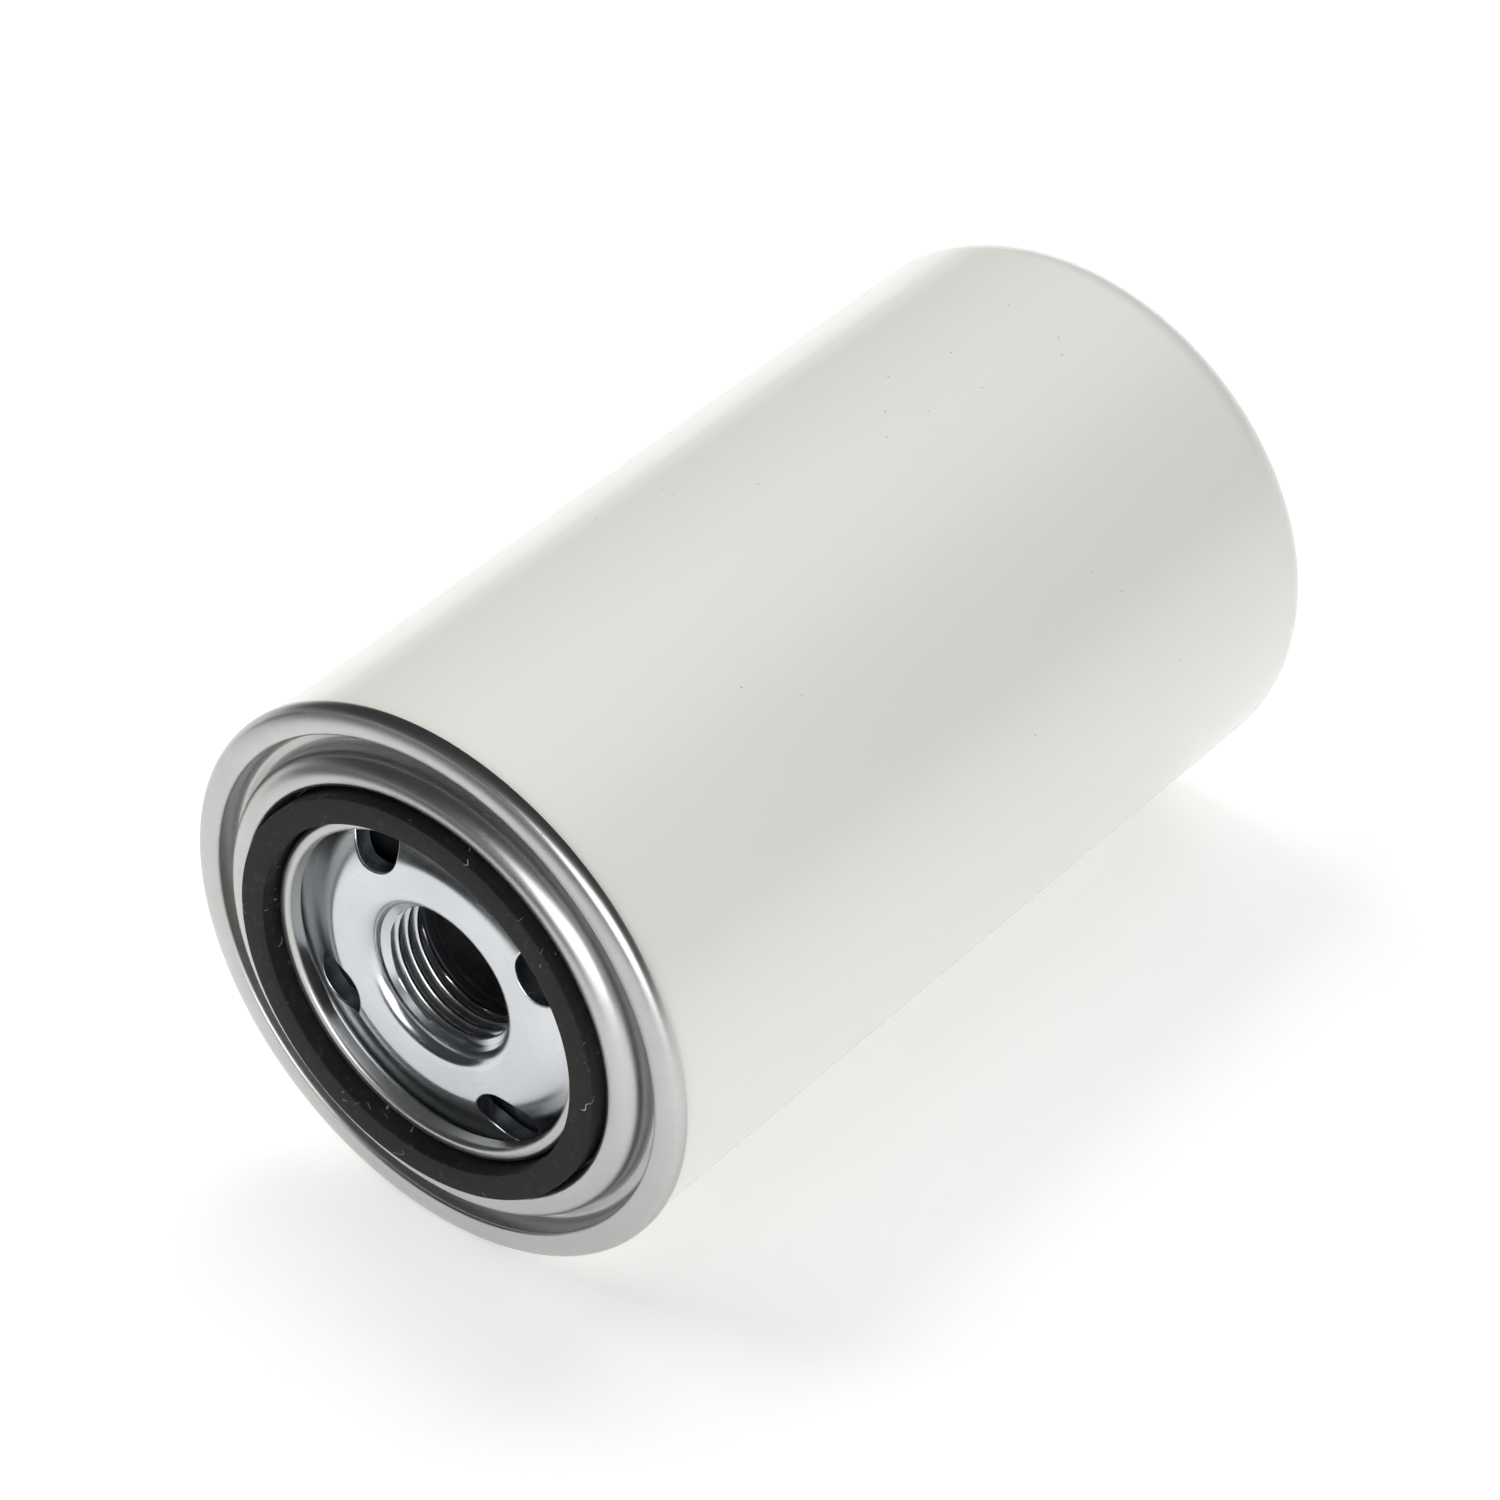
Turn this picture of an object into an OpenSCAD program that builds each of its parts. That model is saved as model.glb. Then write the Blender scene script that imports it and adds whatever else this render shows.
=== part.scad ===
// Spin-on oil filter, lying on its side: the filter axis runs along Y.
// Origin: on the axis, where the threaded bore begins. -Y is the open, threaded end,
// +Y the closed end, +Z up. Every profile below is a list of [radius, y] points.

/* [Can] */
// Outside diameter of the painted can
can_d = 93.5; // [93:0.1:94]
// Length from the rolled rim to the closed end
can_length = 160; // [150:1:190]
// Sheet thickness of the can
can_t = 0.55; // [0.45:0.05:0.6]
// Radius of the corner at the closed end
can_corner_r = 7.6; // [5:0.1:10]

/* [Lid] */
// Outside diameter over the rolled seam
rim_d = 94.8; // [94.8:0.1:95.4]
// Sheet thickness of the lid
lid_t = 0.6; // [0.5:0.05:0.6]
// Depth of the channel floor behind the seam's front crest
channel_depth = 3.9; // [3.5:0.1:4.2]

/* [Gasket] */
// Outside diameter of the sealing gasket
gasket_od = 68.9; // [68.5:0.1:69.2]
// Inside diameter of the sealing gasket
gasket_id = 60; // [60:0.1:61]
// How far the gasket's sealing face stands in front of the tapping plate
gasket_proud = 4.87; // [4:0.01:6]

/* [Tapping plate] */
// Plate thickness
plate_t = 3; // [2.6:0.1:3]
// Bore of the thread, at its crests
thread_bore_d = 23.1; // [22.6:0.1:23.4]
// Length of the threaded wall
thread_length = 8.2; // [7:0.1:9]
// Number of oil inlet holes
inlet_count = 4; // [3:1:8]
// Diameter of an inlet hole
inlet_d = 10; // [6:0.1:10]
// Angle of the first inlet hole, from +X towards +Z
first_inlet_angle = 30; // [0:1:90]
// Diameter of the circle that the inlet holes stand on
inlet_circle_d = 48; // [47:0.1:48]

/* [Filter element] */
// Number of pleats in the paper
pleat_count = 54; // [40:1:58]
// Outside diameter of the element's end caps
end_cap_d = 83; // [82.6:0.1:86]
// Rings of holes in the centre tube
tube_hole_rings = 10; // [4:1:12]

/* [Valves] */
// Rising coils in the bypass valve's spring
bypass_coils = 4.5; // [4:0.5:5]
// Rising coils in the element's support spring
support_coils = 3.5; // [3:0.5:4]

/* [Hidden] */
$fn = 96;

// Shared places along the axis
plate_face_y = -plate_t;
rim_y = plate_face_y + 0.3;
rim_crest_y = rim_y - 1.5;
can_end_y = rim_y + can_length;
gasket_front_y = plate_face_y - gasket_proud;
annulus_y = plate_face_y + 2.8;
groove_floor_y = annulus_y - lid_t;
channel_floor_y = rim_crest_y + channel_depth;
lip_crest_y = rim_y - 2.4;
ridge_crest_y = rim_y - 3.3;

// Shared radii
can_r = can_d / 2;
rim_r = rim_d / 2;
bore_r = thread_bore_d / 2;
collar_r = bore_r + 2.65;
plate_r = 38.6;
groove_in_r = gasket_id / 2 - 0.4;
groove_out_r = gasket_od / 2 + 0.65;
ridge_out_r = groove_out_r + 4.7;
chuck_wall_r = rim_r - 4.7;

// Stack of the element
running_gap = 0.05;
cap_t = 0.5;
cap_bend_r = 1;
cap_r = end_cap_d / 2;
grommet_y = thread_length + running_gap;
grommet_t = 2;
lower_cap_y = grommet_y + 0.65;
adhesive_t = 1.75;
lower_adhesive_y = lower_cap_y + cap_t + running_gap;
media_y = lower_adhesive_y + adhesive_t;
spring_room = 25.8;
upper_cap_y = can_end_y - spring_room;
upper_adhesive_y = upper_cap_y - cap_t - running_gap - adhesive_t;
media_length = upper_adhesive_y - media_y;
media_in_r = 18.4;
media_out_r = cap_r - 1.7;
paper_t = 0.45;
tube_r = 17.4;
tube_t = 0.6;
clip_half_angle = 1.3;

// Bypass valve, hung in the upper end cap
port_r = 6.2;
seat_cup_r = 14;
seat_floor_y = upper_cap_y - 2;
seat_t = 0.6;
poppet_r = 8.8;
poppet_t = 1;
seal_t = 0.95;
poppet_y = seat_floor_y - seat_t - running_gap - seal_t - poppet_t;
cage_r = 10.2;
cage_floor_y = poppet_y - 14.3;
stem_r = 1.5;
bypass_wire_r = 0.55;
bypass_coil_r = 5.6;

// Support spring at the closed end
seat_plate_t = 0.8;
support_wire_r = 1.4;
support_coil_r = 24;
support_y = upper_cap_y + running_gap + seat_plate_t + running_gap;
support_length = can_end_y - can_t - running_gap - support_y;

// Points on an arc about [cx, cy] from angle a to angle b
function arc(cx, cy, r, a, b, steps = 8) =
    [for (i = [0 : steps]) let (t = a + (b - a) * i / steps) [cx + r * cos(t), cy + r * sin(t)]];

function unit(v) = v / norm(v);
function left_of(v) = [-v[1], v[0]];

// Normal at point i of a path, long enough that both neighbouring edges move by 1
function path_normal(path, i) =
    let (last = len(path) - 1,
         a = left_of(unit(path[min(i + 1, last)] - path[min(i, last - 1)])),
         b = left_of(unit(path[max(i, 1)] - path[max(i - 1, 0)])))
    (a + b) / (1 + a * b);

// Outline of a sheet of thickness t laid to the left of a path
function sheet(path, t) =
    concat(path, [for (i = [len(path) - 1 : -1 : 0]) path[i] + t * path_normal(path, i)]);

// Turns a shape that stands on +Z so that it runs along the filter's axis, +Y
module on_axis() {
    rotate([-90, 0, 0]) children();
}

// A body of revolution about the filter's axis
module turned(points) {
    on_axis() rotate_extrude() polygon(points);
}

// A plain ring or washer
module ring(r_in, r_out, y, length) {
    turned([[r_in, y], [r_out, y], [r_out, y + length], [r_in, y + length]]);
}

// A spring of round wire whose ends lie flat; swept as one closed mesh
module coil_spring(coil_r, wire_r, y, length, coils) {
    sides = 8;
    per_turn = 24;
    flat_turns = 0.4;
    rings = round((coils + 2 * flat_turns) * per_turn);
    rise = length - 2 * wire_r;
    function lift(turn) = min(max((turn - flat_turns) / coils, 0), 1) * rise + wire_r;
    points = [
        for (i = [0 : rings])
            let (turn = i / per_turn, a = turn * 360)
                for (k = [0 : sides - 1])
                    let (b = 360 * k / sides, r = coil_r + wire_r * cos(b))
                        [r * cos(a), r * sin(a), y + lift(turn) + wire_r * sin(b)]
    ];
    walls = [
        for (i = [0 : rings - 1])
            for (k = [0 : sides - 1])
                let (n = (k + 1) % sides)
                    [i * sides + k, i * sides + n, (i + 1) * sides + n, (i + 1) * sides + k]
    ];
    start = [[for (k = [sides - 1 : -1 : 0]) k]];
    end = [[for (k = [0 : sides - 1]) rings * sides + k]];
    on_axis() polyhedron(points, concat(walls, start, end));
}

// Deep-drawn steel can with its open edge hooked inwards under the lid's seam
module can() {
    hook_r = 0.8;
    path = concat(
        [[0, can_end_y]],
        arc(can_r - can_corner_r, can_end_y - can_corner_r, can_corner_r, 90, 0, 12),
        arc(can_r - hook_r, rim_y + 1.05, hook_r, 0, -90, 6),
        arc(chuck_wall_r + 2, rim_y + 1.05, hook_r, -90, -180, 6),
        [[chuck_wall_r + 1.2, rim_y + 1.6]]
    );
    color("ivory") turned(sheet([for (i = [len(path) - 1 : -1 : 0]) path[i]], can_t));
}

// Zinc-plated lid: rolled seam, channel, rounded ridge, gasket groove and inner lip
module seaming_lid() {
    seam_r = 1.7;
    seam_face_r = 6.2;
    seam_turn = -72;
    panel_r = 0.65;
    panel_turn = -100;
    floor_r = 0.9;
    ridge_r = 3.4;
    groove_edge_r = 0.9;
    lip_r = 0.9;
    bend_r = 0.65;
    seam_back_y = rim_y + 0.75;
    seam_cy = rim_y + 0.3;
    face_shift = seam_face_r - seam_r;
    path = concat(
        [[rim_r, seam_back_y]],
        arc(rim_r - seam_r, seam_cy, seam_r, 0, seam_turn, 5),
        arc(rim_r - seam_r - face_shift * cos(seam_turn), seam_cy - face_shift * sin(seam_turn),
            seam_face_r, seam_turn, panel_turn, 4),
        arc(chuck_wall_r + panel_r, rim_crest_y + panel_r, panel_r, panel_turn, -180, 4),
        arc(chuck_wall_r - 0.35 - floor_r, channel_floor_y - floor_r, floor_r, 0, 90, 4),
        arc(ridge_out_r + floor_r, channel_floor_y - floor_r, floor_r, 90, 180, 4),
        arc(ridge_out_r - ridge_r, ridge_crest_y + ridge_r, ridge_r, 0, -90, 8),
        arc(groove_out_r + groove_edge_r, ridge_crest_y + groove_edge_r, groove_edge_r, -90, -180, 4),
        arc(groove_out_r - bend_r, groove_floor_y - bend_r, bend_r, 0, 90, 3),
        arc(groove_in_r + bend_r, groove_floor_y - bend_r, bend_r, 90, 180, 3),
        arc(groove_in_r - lip_r, lip_crest_y + lip_r, lip_r, 0, -90, 4),
        arc(groove_in_r - lip_r - 0.5, lip_crest_y + lip_r, lip_r, -90, -180, 4),
        [[groove_in_r - 2 * lip_r - 0.5, rim_y + 0.15]]
    );
    color("silver") turned(sheet(path, -lid_t));
}

// Lining compound squeezed between the lid's seam and the can's hook
module seam_sealant() {
    color("darkslategray") turned([
        [chuck_wall_r + 1.6, rim_y + 0.2],
        [can_r - 1.3, rim_y + 0.2],
        [can_r - 1.3, rim_y + 0.02],
        [chuck_wall_r + 1.6, rim_y - 0.5]
    ]);
}

// Thick pressed plate: flat centre, sloping shoulder, flat rim, and the drawn, threaded collar
module tapping_plate() {
    flat_r = 19.7;
    foot_r = 28.3;
    slope_steps = 12;
    mouth_r = 2.4;
    corner = 1.2;
    function slope(t) = t * t * (3 - 2 * t);
    front = concat(
        [for (i = [0 : slope_steps])
            let (t = i / slope_steps)
                [flat_r + (foot_r - flat_r) * t, plate_face_y + (annulus_y - plate_face_y) * slope(t)]],
        [[plate_r, annulus_y]]
    );
    shell = sheet(front, plate_t);
    back = [for (i = [len(front) : len(shell) - 1]) shell[i]];
    mouth_cr = bore_r + 1.35 + mouth_r;
    mouth = arc(mouth_cr, plate_face_y + mouth_r, mouth_r, -90, -175);
    outline = concat(
        front,
        back,
        arc(collar_r + corner, plate_face_y + plate_t + corner, corner, -90, -180, 6),
        [[collar_r, thread_length], [bore_r, thread_length], [bore_r, 0]],
        [for (i = [len(mouth) - 1 : -1 : 0]) mouth[i]]
    );
    color("lightsteelblue") difference() {
        turned(outline);
        for (k = [0 : inlet_count - 1])
            rotate([0, -first_inlet_angle - k * 360 / inlet_count, 0])
                translate([inlet_circle_d / 2, plate_face_y - 1, 0])
                    on_axis() cylinder(d = inlet_d, h = plate_t + 6);
    }
}

// Square-section rubber ring that seals on the engine's filter head
module gasket() {
    edge = 0.25;
    r_in = gasket_id / 2;
    r_out = gasket_od / 2;
    color([0.17, 0.17, 0.165]) turned([
        [r_in + edge, groove_floor_y],
        [r_in, groove_floor_y - edge],
        [r_in, gasket_front_y + edge],
        [r_in + edge, gasket_front_y],
        [r_out - edge, gasket_front_y],
        [r_out, gasket_front_y + edge],
        [r_out, groove_floor_y - edge],
        [r_out - edge, groove_floor_y]
    ]);
}

// Rubber disc behind the inlet holes; its outer bead closes on the plate's flat rim
module anti_drainback_valve() {
    hub_in = collar_r + 0.15;
    seat_y = annulus_y + plate_t + running_gap;
    color([0.1, 0.1, 0.11]) turned([
        [hub_in, 1.3], [hub_in + 1.6, 1.3], [hub_in + 2.6, seat_y + 0.4],
        [30.6, seat_y + 0.4], [31.2, seat_y], [33, seat_y], [33.8, seat_y + 0.5],
        [33.8, seat_y + 1.3], [hub_in + 3, seat_y + 1.7], [hub_in + 2.4, seat_y + 2.9],
        [hub_in, seat_y + 2.9]
    ]);
}

// Rubber ring that seals the element against the collar's end
module element_grommet() {
    color("black") ring(12.6, 16.1, grommet_y, grommet_t);
}

// Pressed cap on the threaded end of the element, with a cup for the grommet
module lower_end_cap() {
    cup_r = 16.15;
    cup_y = grommet_y + grommet_t + running_gap;
    path = concat(
        [[12.6, cup_y], [cup_r, cup_y], [cup_r, lower_cap_y]],
        arc(cap_r - cap_bend_r, lower_cap_y + cap_bend_r, cap_bend_r, -90, 0, 6),
        [[cap_r, lower_cap_y + 4.2]]
    );
    color("gainsboro") turned(sheet(path, cap_t));
}

// Ring of cured adhesive poured into a cap, with its outer corner clear of the cap's bend.
// floor_y lies against the cap, and open_y faces the paper.
module adhesive(floor_y, open_y) {
    corner = cap_bend_r - cap_t;
    toward = sign(open_y - floor_y);
    r_in = tube_r + running_gap;
    r_out = cap_r - cap_t - running_gap;
    color("firebrick") turned([[r_in, floor_y], [r_out - corner, floor_y],
        [r_out, floor_y + toward * corner], [r_out, open_y], [r_in, open_y]]);
}

// Cured adhesive that bonds the paper into the lower cap
module lower_adhesive() {
    adhesive(lower_adhesive_y, lower_adhesive_y + adhesive_t);
}

// Perforated steel tube that carries the paper; rings of holes are staggered
module centre_tube() {
    hole_d = 4.5;
    holes_across = 4;
    tube_y = lower_cap_y + cap_t + running_gap;
    tube_length = upper_cap_y - cap_t - running_gap - tube_y;
    pitch = tube_length / (tube_hole_rings + 1);
    color("slategray") difference() {
        ring(tube_r - tube_t, tube_r, tube_y, tube_length);
        for (i = [1 : tube_hole_rings])
            for (k = [0 : holes_across - 1])
                translate([0, tube_y + i * pitch, 0])
                    rotate([0, 180 * (k + (i % 2) / 2) / holes_across, 0])
                        translate([0, 0, -tube_r - 1]) cylinder(d = hole_d, h = 2 * tube_r + 2, $fn = 24);
    }
}

// Resin-treated paper folded into a star; both ends meet under the clip
module pleated_media() {
    step = (360 - 2 * clip_half_angle) / (pleat_count - 1);
    outer_tip = 0.6;
    inner_tip = 0.2;
    function at(r, a, side) = [r * cos(a) - side * sin(a), r * sin(a) + side * cos(a)];
    function outer_fold(a) = [at(media_out_r, a, -outer_tip), at(media_out_r, a, outer_tip)];
    function inner_fold(a) = [at(media_in_r, a, -inner_tip), at(media_in_r, a, inner_tip)];
    first = clip_half_angle;
    last = first + (pleat_count - 1) * step;
    path = concat(
        [at(media_out_r, first, 0), at(media_out_r, first, outer_tip)],
        [for (i = [1 : pleat_count - 2])
            each concat(inner_fold(first + (i - 0.5) * step), outer_fold(first + i * step))],
        inner_fold(last - step / 2),
        [at(media_out_r, last, -outer_tip), at(media_out_r, last, 0)]
    );
    color("khaki")
        translate([0, media_y, 0]) on_axis() linear_extrude(media_length) polygon(sheet(path, paper_t));
}

// Folded strip that joins the two ends of the paper
module media_clip() {
    strip_t = 0.45;
    half_w = 1.95;
    length = 3.3;
    outer = media_out_r + 1.1;
    color("silver")
        translate([0, media_y, 0]) on_axis() linear_extrude(media_length) difference() {
            translate([outer - length, -half_w]) square([length, 2 * half_w]);
            translate([outer - length - 1, strip_t - half_w]) square([length + 1 - strip_t, 2 * (half_w - strip_t)]);
        }
}

// Threads of glue laid round the pleats to keep them evenly spaced
module pleat_bands() {
    band_w = 2.5;
    band_t = 0.7;
    r_in = media_out_r + 0.4;
    gap = 6;
    color("wheat") for (share = [0.25, 0.5, 0.75])
        difference() {
            ring(r_in, r_in + band_t, media_y + media_length * share - band_w / 2, band_w);
            translate([r_in - 5, media_y, -gap / 2]) cube([10, media_length, gap]);
        }
}

// Cured adhesive in the upper cap
module upper_adhesive() {
    adhesive(upper_adhesive_y + adhesive_t, upper_adhesive_y);
}

// Pressed cap on the closed end of the element, open in the middle for the bypass valve
module upper_end_cap() {
    path = concat(
        [[cap_r, upper_cap_y - 4.2]],
        arc(cap_r - cap_bend_r, upper_cap_y - cap_bend_r, cap_bend_r, 0, 90, 6),
        [[seat_cup_r + 0.2, upper_cap_y]]
    );
    color("gainsboro") turned(sheet(path, cap_t));
}

// Cupped ring pressed into the upper cap; its floor is the valve's seat
module bypass_seat() {
    path = [
        [port_r, seat_floor_y - seat_t],
        [seat_cup_r, seat_floor_y - seat_t],
        [seat_cup_r, upper_cap_y + running_gap],
        [seat_cup_r + 1.9, upper_cap_y + running_gap]
    ];
    color("gainsboro") turned(sheet(path, seat_t));
}

// Rubber washer on the poppet's face
module bypass_seal() {
    color("black") ring(5.2, poppet_r - 0.6, poppet_y + poppet_t, seal_t);
}

// Steel disc that the spring holds against the seat
module bypass_poppet() {
    color("silver") ring(stem_r, poppet_r, poppet_y, poppet_t);
}

// Guide pin riveted through the poppet
module bypass_stem() {
    head_r = 3;
    head_t = 0.7;
    foot = cage_floor_y - 1.2;
    top = poppet_y + poppet_t;
    color("dimgray") turned([[0, foot], [stem_r, foot], [stem_r, top], [head_r, top],
        [head_r - 0.4, top + head_t], [0, top + head_t]]);
}

// Compression spring under the poppet
module bypass_spring() {
    color("gray") coil_spring(bypass_coil_r, bypass_wire_r, cage_floor_y + seat_t + running_gap,
        poppet_y - cage_floor_y - seat_t - 2 * running_gap, bypass_coils);
}

// Slotted cup that guides the stem and carries the spring
module bypass_cage() {
    slots = 3;
    slot_w = 9;
    top = seat_floor_y - seat_t - running_gap;
    path = [
        [stem_r + 0.1, cage_floor_y],
        [cage_r, cage_floor_y],
        [cage_r, top - seat_t],
        [cage_r + 2.6, top - seat_t]
    ];
    color("darkgray") difference() {
        turned(sheet(path, seat_t));
        for (k = [0 : slots - 1])
            rotate([0, k * 360 / slots, 0])
                translate([cage_r / 2, cage_floor_y + 2, -slot_w / 2])
                    cube([cage_r, top - cage_floor_y - 5, slot_w]);
    }
}

// Cupped washer that spreads the support spring's load over the upper cap
module spring_seat() {
    lip = 2.2;
    inner_r = 18;
    outer_r = 28;
    floor_y = upper_cap_y + running_gap;
    path = [[inner_r, floor_y + lip], [inner_r, floor_y], [outer_r, floor_y], [outer_r, floor_y + lip]];
    color("darkgray") turned(sheet(path, seat_plate_t));
}

// Compression spring between the can's closed end and the element
module support_spring() {
    color("dimgray") coil_spring(support_coil_r, support_wire_r, support_y, support_length, support_coils);
}

can();
seaming_lid();
seam_sealant();
tapping_plate();
gasket();
anti_drainback_valve();
element_grommet();
lower_end_cap();
lower_adhesive();
centre_tube();
pleated_media();
media_clip();
pleat_bands();
upper_adhesive();
upper_end_cap();
bypass_seat();
bypass_seal();
bypass_poppet();
bypass_stem();
bypass_spring();
bypass_cage();
spring_seat();
support_spring();
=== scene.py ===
# %% [markdown]
# # A spin-on oil filter
# A spin-on filter is a painted steel can with a seamed lid, a threaded plate and a rubber
# gasket at one end, and a paper element with its valves inside. The CAD frame already holds
# every piece at its true size. This lesson gives each piece its finished surface: shapes that
# are turned, threaded, pleated or coiled are made by rules, and each metal, rubber, paper and
# paint gets a finish of its own.

import math

import bmesh
import bpy
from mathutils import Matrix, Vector


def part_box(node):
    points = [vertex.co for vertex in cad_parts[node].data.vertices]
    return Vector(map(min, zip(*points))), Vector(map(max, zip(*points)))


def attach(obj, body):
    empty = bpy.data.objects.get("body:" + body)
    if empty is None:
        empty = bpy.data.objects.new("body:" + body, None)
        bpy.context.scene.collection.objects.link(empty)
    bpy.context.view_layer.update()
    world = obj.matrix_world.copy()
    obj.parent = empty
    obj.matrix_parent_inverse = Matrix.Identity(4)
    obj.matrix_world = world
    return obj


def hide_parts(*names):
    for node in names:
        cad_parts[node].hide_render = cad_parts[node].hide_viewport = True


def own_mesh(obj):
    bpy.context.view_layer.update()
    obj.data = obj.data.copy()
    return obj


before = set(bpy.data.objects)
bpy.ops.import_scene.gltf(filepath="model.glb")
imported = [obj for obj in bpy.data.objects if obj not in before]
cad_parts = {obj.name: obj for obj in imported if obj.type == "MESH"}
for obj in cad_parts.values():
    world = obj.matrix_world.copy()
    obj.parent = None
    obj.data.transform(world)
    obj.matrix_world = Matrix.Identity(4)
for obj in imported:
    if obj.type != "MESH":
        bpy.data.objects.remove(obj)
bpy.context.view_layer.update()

# %% [markdown]
# Blender works in metres, but a maker reads a filter in millimetres. One constant turns
# one into the other, and the driving sizes are read from the frame, so that every finished
# piece fits the piece that it stands for. The filter's axis is Y, and its open end faces -Y.

# %% Driving sizes, in millimetres
MM = 0.001


def low(node, axis):
    """The lower side of a CAD node's box along one axis."""
    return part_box(node)[0]["xyz".index(axis)] / MM


def high(node, axis):
    """The upper side of a CAD node's box along one axis."""
    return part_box(node)[1]["xyz".index(axis)] / MM


def ends(node):
    """Where a CAD node starts and ends along the filter's axis."""
    return low(node, "y"), high(node, "y")


rim_r = high("seaming_lid", "x")
can_r = high("can", "x")
can_end_y = high("can", "y")
plate_face_y = low("tapping_plate", "y")
collar_end_y = high("tapping_plate", "y")
plate_r = high("tapping_plate", "x")
gasket_r = high("gasket", "x")
gasket_front_y, gasket_back_y = ends("gasket")
rim_y = plate_face_y + 0.3
print(f"rim {2 * rim_r:.1f} mm, can {2 * can_r:.1f} x {can_end_y - rim_y:.1f} mm")

# %% [markdown]
# ## Node maths as Python
# Finishes and shape rules are both node trees. Wiring a short formula by hand takes dozens of
# lines, so one small class wraps a socket and lets Python's own operators add the Math nodes. A
# second class adds any other node from its type, its settings and its inputs, and takes
# vectors apart and puts them together.

# %% One wrapped socket for all node maths


class Wire:
    """A node's output that can be used in a Python expression."""

    def __init__(self, recipe, socket):
        self.recipe, self.socket = recipe, socket

    def math(self, operation, *others, swap=False):
        values = [self, *others]
        if swap:
            values.reverse()
        return self.recipe.add("ShaderNodeMath", {"operation": operation}, dict(enumerate(values)))

    def __add__(self, other):
        return self.math("ADD", other)

    def __sub__(self, other):
        return self.math("SUBTRACT", other)

    def __mul__(self, other):
        return self.math("MULTIPLY", other)

    def __truediv__(self, other):
        return self.math("DIVIDE", other)

    def __pow__(self, other):
        return self.math("POWER", other)

    def __lt__(self, other):
        return self.math("LESS_THAN", other)

    def __gt__(self, other):
        return self.math("GREATER_THAN", other)

    def __rsub__(self, other):
        return self.math("SUBTRACT", other, swap=True)

    def __rtruediv__(self, other):
        return self.math("DIVIDE", other, swap=True)

    __radd__ = __add__
    __rmul__ = __mul__

    def clamp(self, lowest=0.0, highest=1.0):
        return self.math("MAXIMUM", lowest).math("MINIMUM", highest)


class Recipe:
    """A node tree, of a finish or of a shape, written down one node at a time."""

    def __init__(self, tree):
        self.tree = tree

    def add(self, kind, settings=None, inputs=None, output=0):
        """Adds a node, sets it up, feeds its sockets and returns one of its outputs."""
        node = self.tree.nodes.new(kind)
        for key, value in (settings or {}).items():
            if key == "stops":
                self.set_stops(node.color_ramp, value)
            else:
                setattr(node, key, value)
        for key, value in (inputs or {}).items():
            if isinstance(value, Wire):
                self.tree.links.new(value.socket, node.inputs[key])
            else:
                node.inputs[key].default_value = value
        return Wire(self, node.outputs[output]) if len(node.outputs) else node

    def set_stops(self, ramp, stops):
        while len(ramp.elements) > len(stops):
            ramp.elements.remove(ramp.elements[-1])
        while len(ramp.elements) < len(stops):
            ramp.elements.new(1.0)
        for element, (position, grey) in zip(ramp.elements, stops):
            element.position = position
            element.color = (grey, grey, grey, 1.0)

    def of(self, wire, name):
        """Another output of the node that a wire comes from."""
        return Wire(self, wire.socket.node.outputs[name])

    def xyz(self, x=0.0, y=0.0, z=0.0):
        """A vector from three values."""
        return self.add("ShaderNodeCombineXYZ", inputs={0: x, 1: y, 2: z})

    def parts(self, vector):
        """The three values of a vector."""
        split = self.add("ShaderNodeSeparateXYZ", inputs={0: vector})
        return [self.of(split, axis) for axis in "XYZ"]


print("node maths ready")

# %% [markdown]
# ## Floor, light and camera
# The filter lies on its side on a plain pale floor. A floor that glows a little stays white
# without strong light on it. The world is pale near the horizon and almost black above it, so
# that polished metal has something dark to reflect above the bright floor.

# %% Floor and world
floor_z = -rim_r * MM
sweep_radius = 6.0


def matt_paper(name, colour, glow=0.0):
    """A dull paper, which can give off a little light of its own."""
    paper = bpy.data.materials.new(name)
    paper.use_nodes = True
    shader = paper.node_tree.nodes["Principled BSDF"]
    shader.inputs["Base Color"].default_value = (*colour, 1)
    shader.inputs["Roughness"].default_value = 0.9
    shader.inputs["Emission Color"].default_value = (1, 1, 1, 1)
    shader.inputs["Emission Strength"].default_value = glow
    return paper


bpy.ops.mesh.primitive_circle_add(vertices=96, radius=sweep_radius, fill_type="NGON",
                                  location=(0, 0, floor_z))
sweep = bpy.context.object
sweep.name = "studio_sweep"
sweep.data.materials.append(matt_paper("sweep_paper", (0.86, 0.86, 0.86), glow=0.29))

world = bpy.data.worlds.new("studio")
bpy.context.scene.world = world
world.use_nodes = True
backdrop = world.node_tree.nodes["Background"]
backdrop.inputs["Color"].default_value = (0.97, 0.98, 1.0, 1)
sky = Recipe(world.node_tree)
height = sky.parts(sky.add("ShaderNodeTexCoord", output="Generated"))[2]
dimming = sky.add("ShaderNodeMapRange", {"interpolation_type": "SMOOTHSTEP"},
                  {"Value": height, "From Min": 0.02, "From Max": 0.1, "To Min": 0.6, "To Max": 0.06})
sky.tree.links.new(dimming.socket, backdrop.inputs["Strength"])
bpy.context.scene.view_settings.view_transform = "Standard"
print(f"floor at z = {floor_z:.4f} m")

# %% [markdown]
# Broad fills light the enamel evenly, as a light tent does. They are hidden from reflections, as
# a photographer would put them where the metal can't see them. The one light that the metal
# does see gives the rim and the ridge their long highlight.

# %% Soft lights
filter_middle = Vector((0, (can_end_y + gasket_front_y) / 2 * MM, 0))


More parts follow.
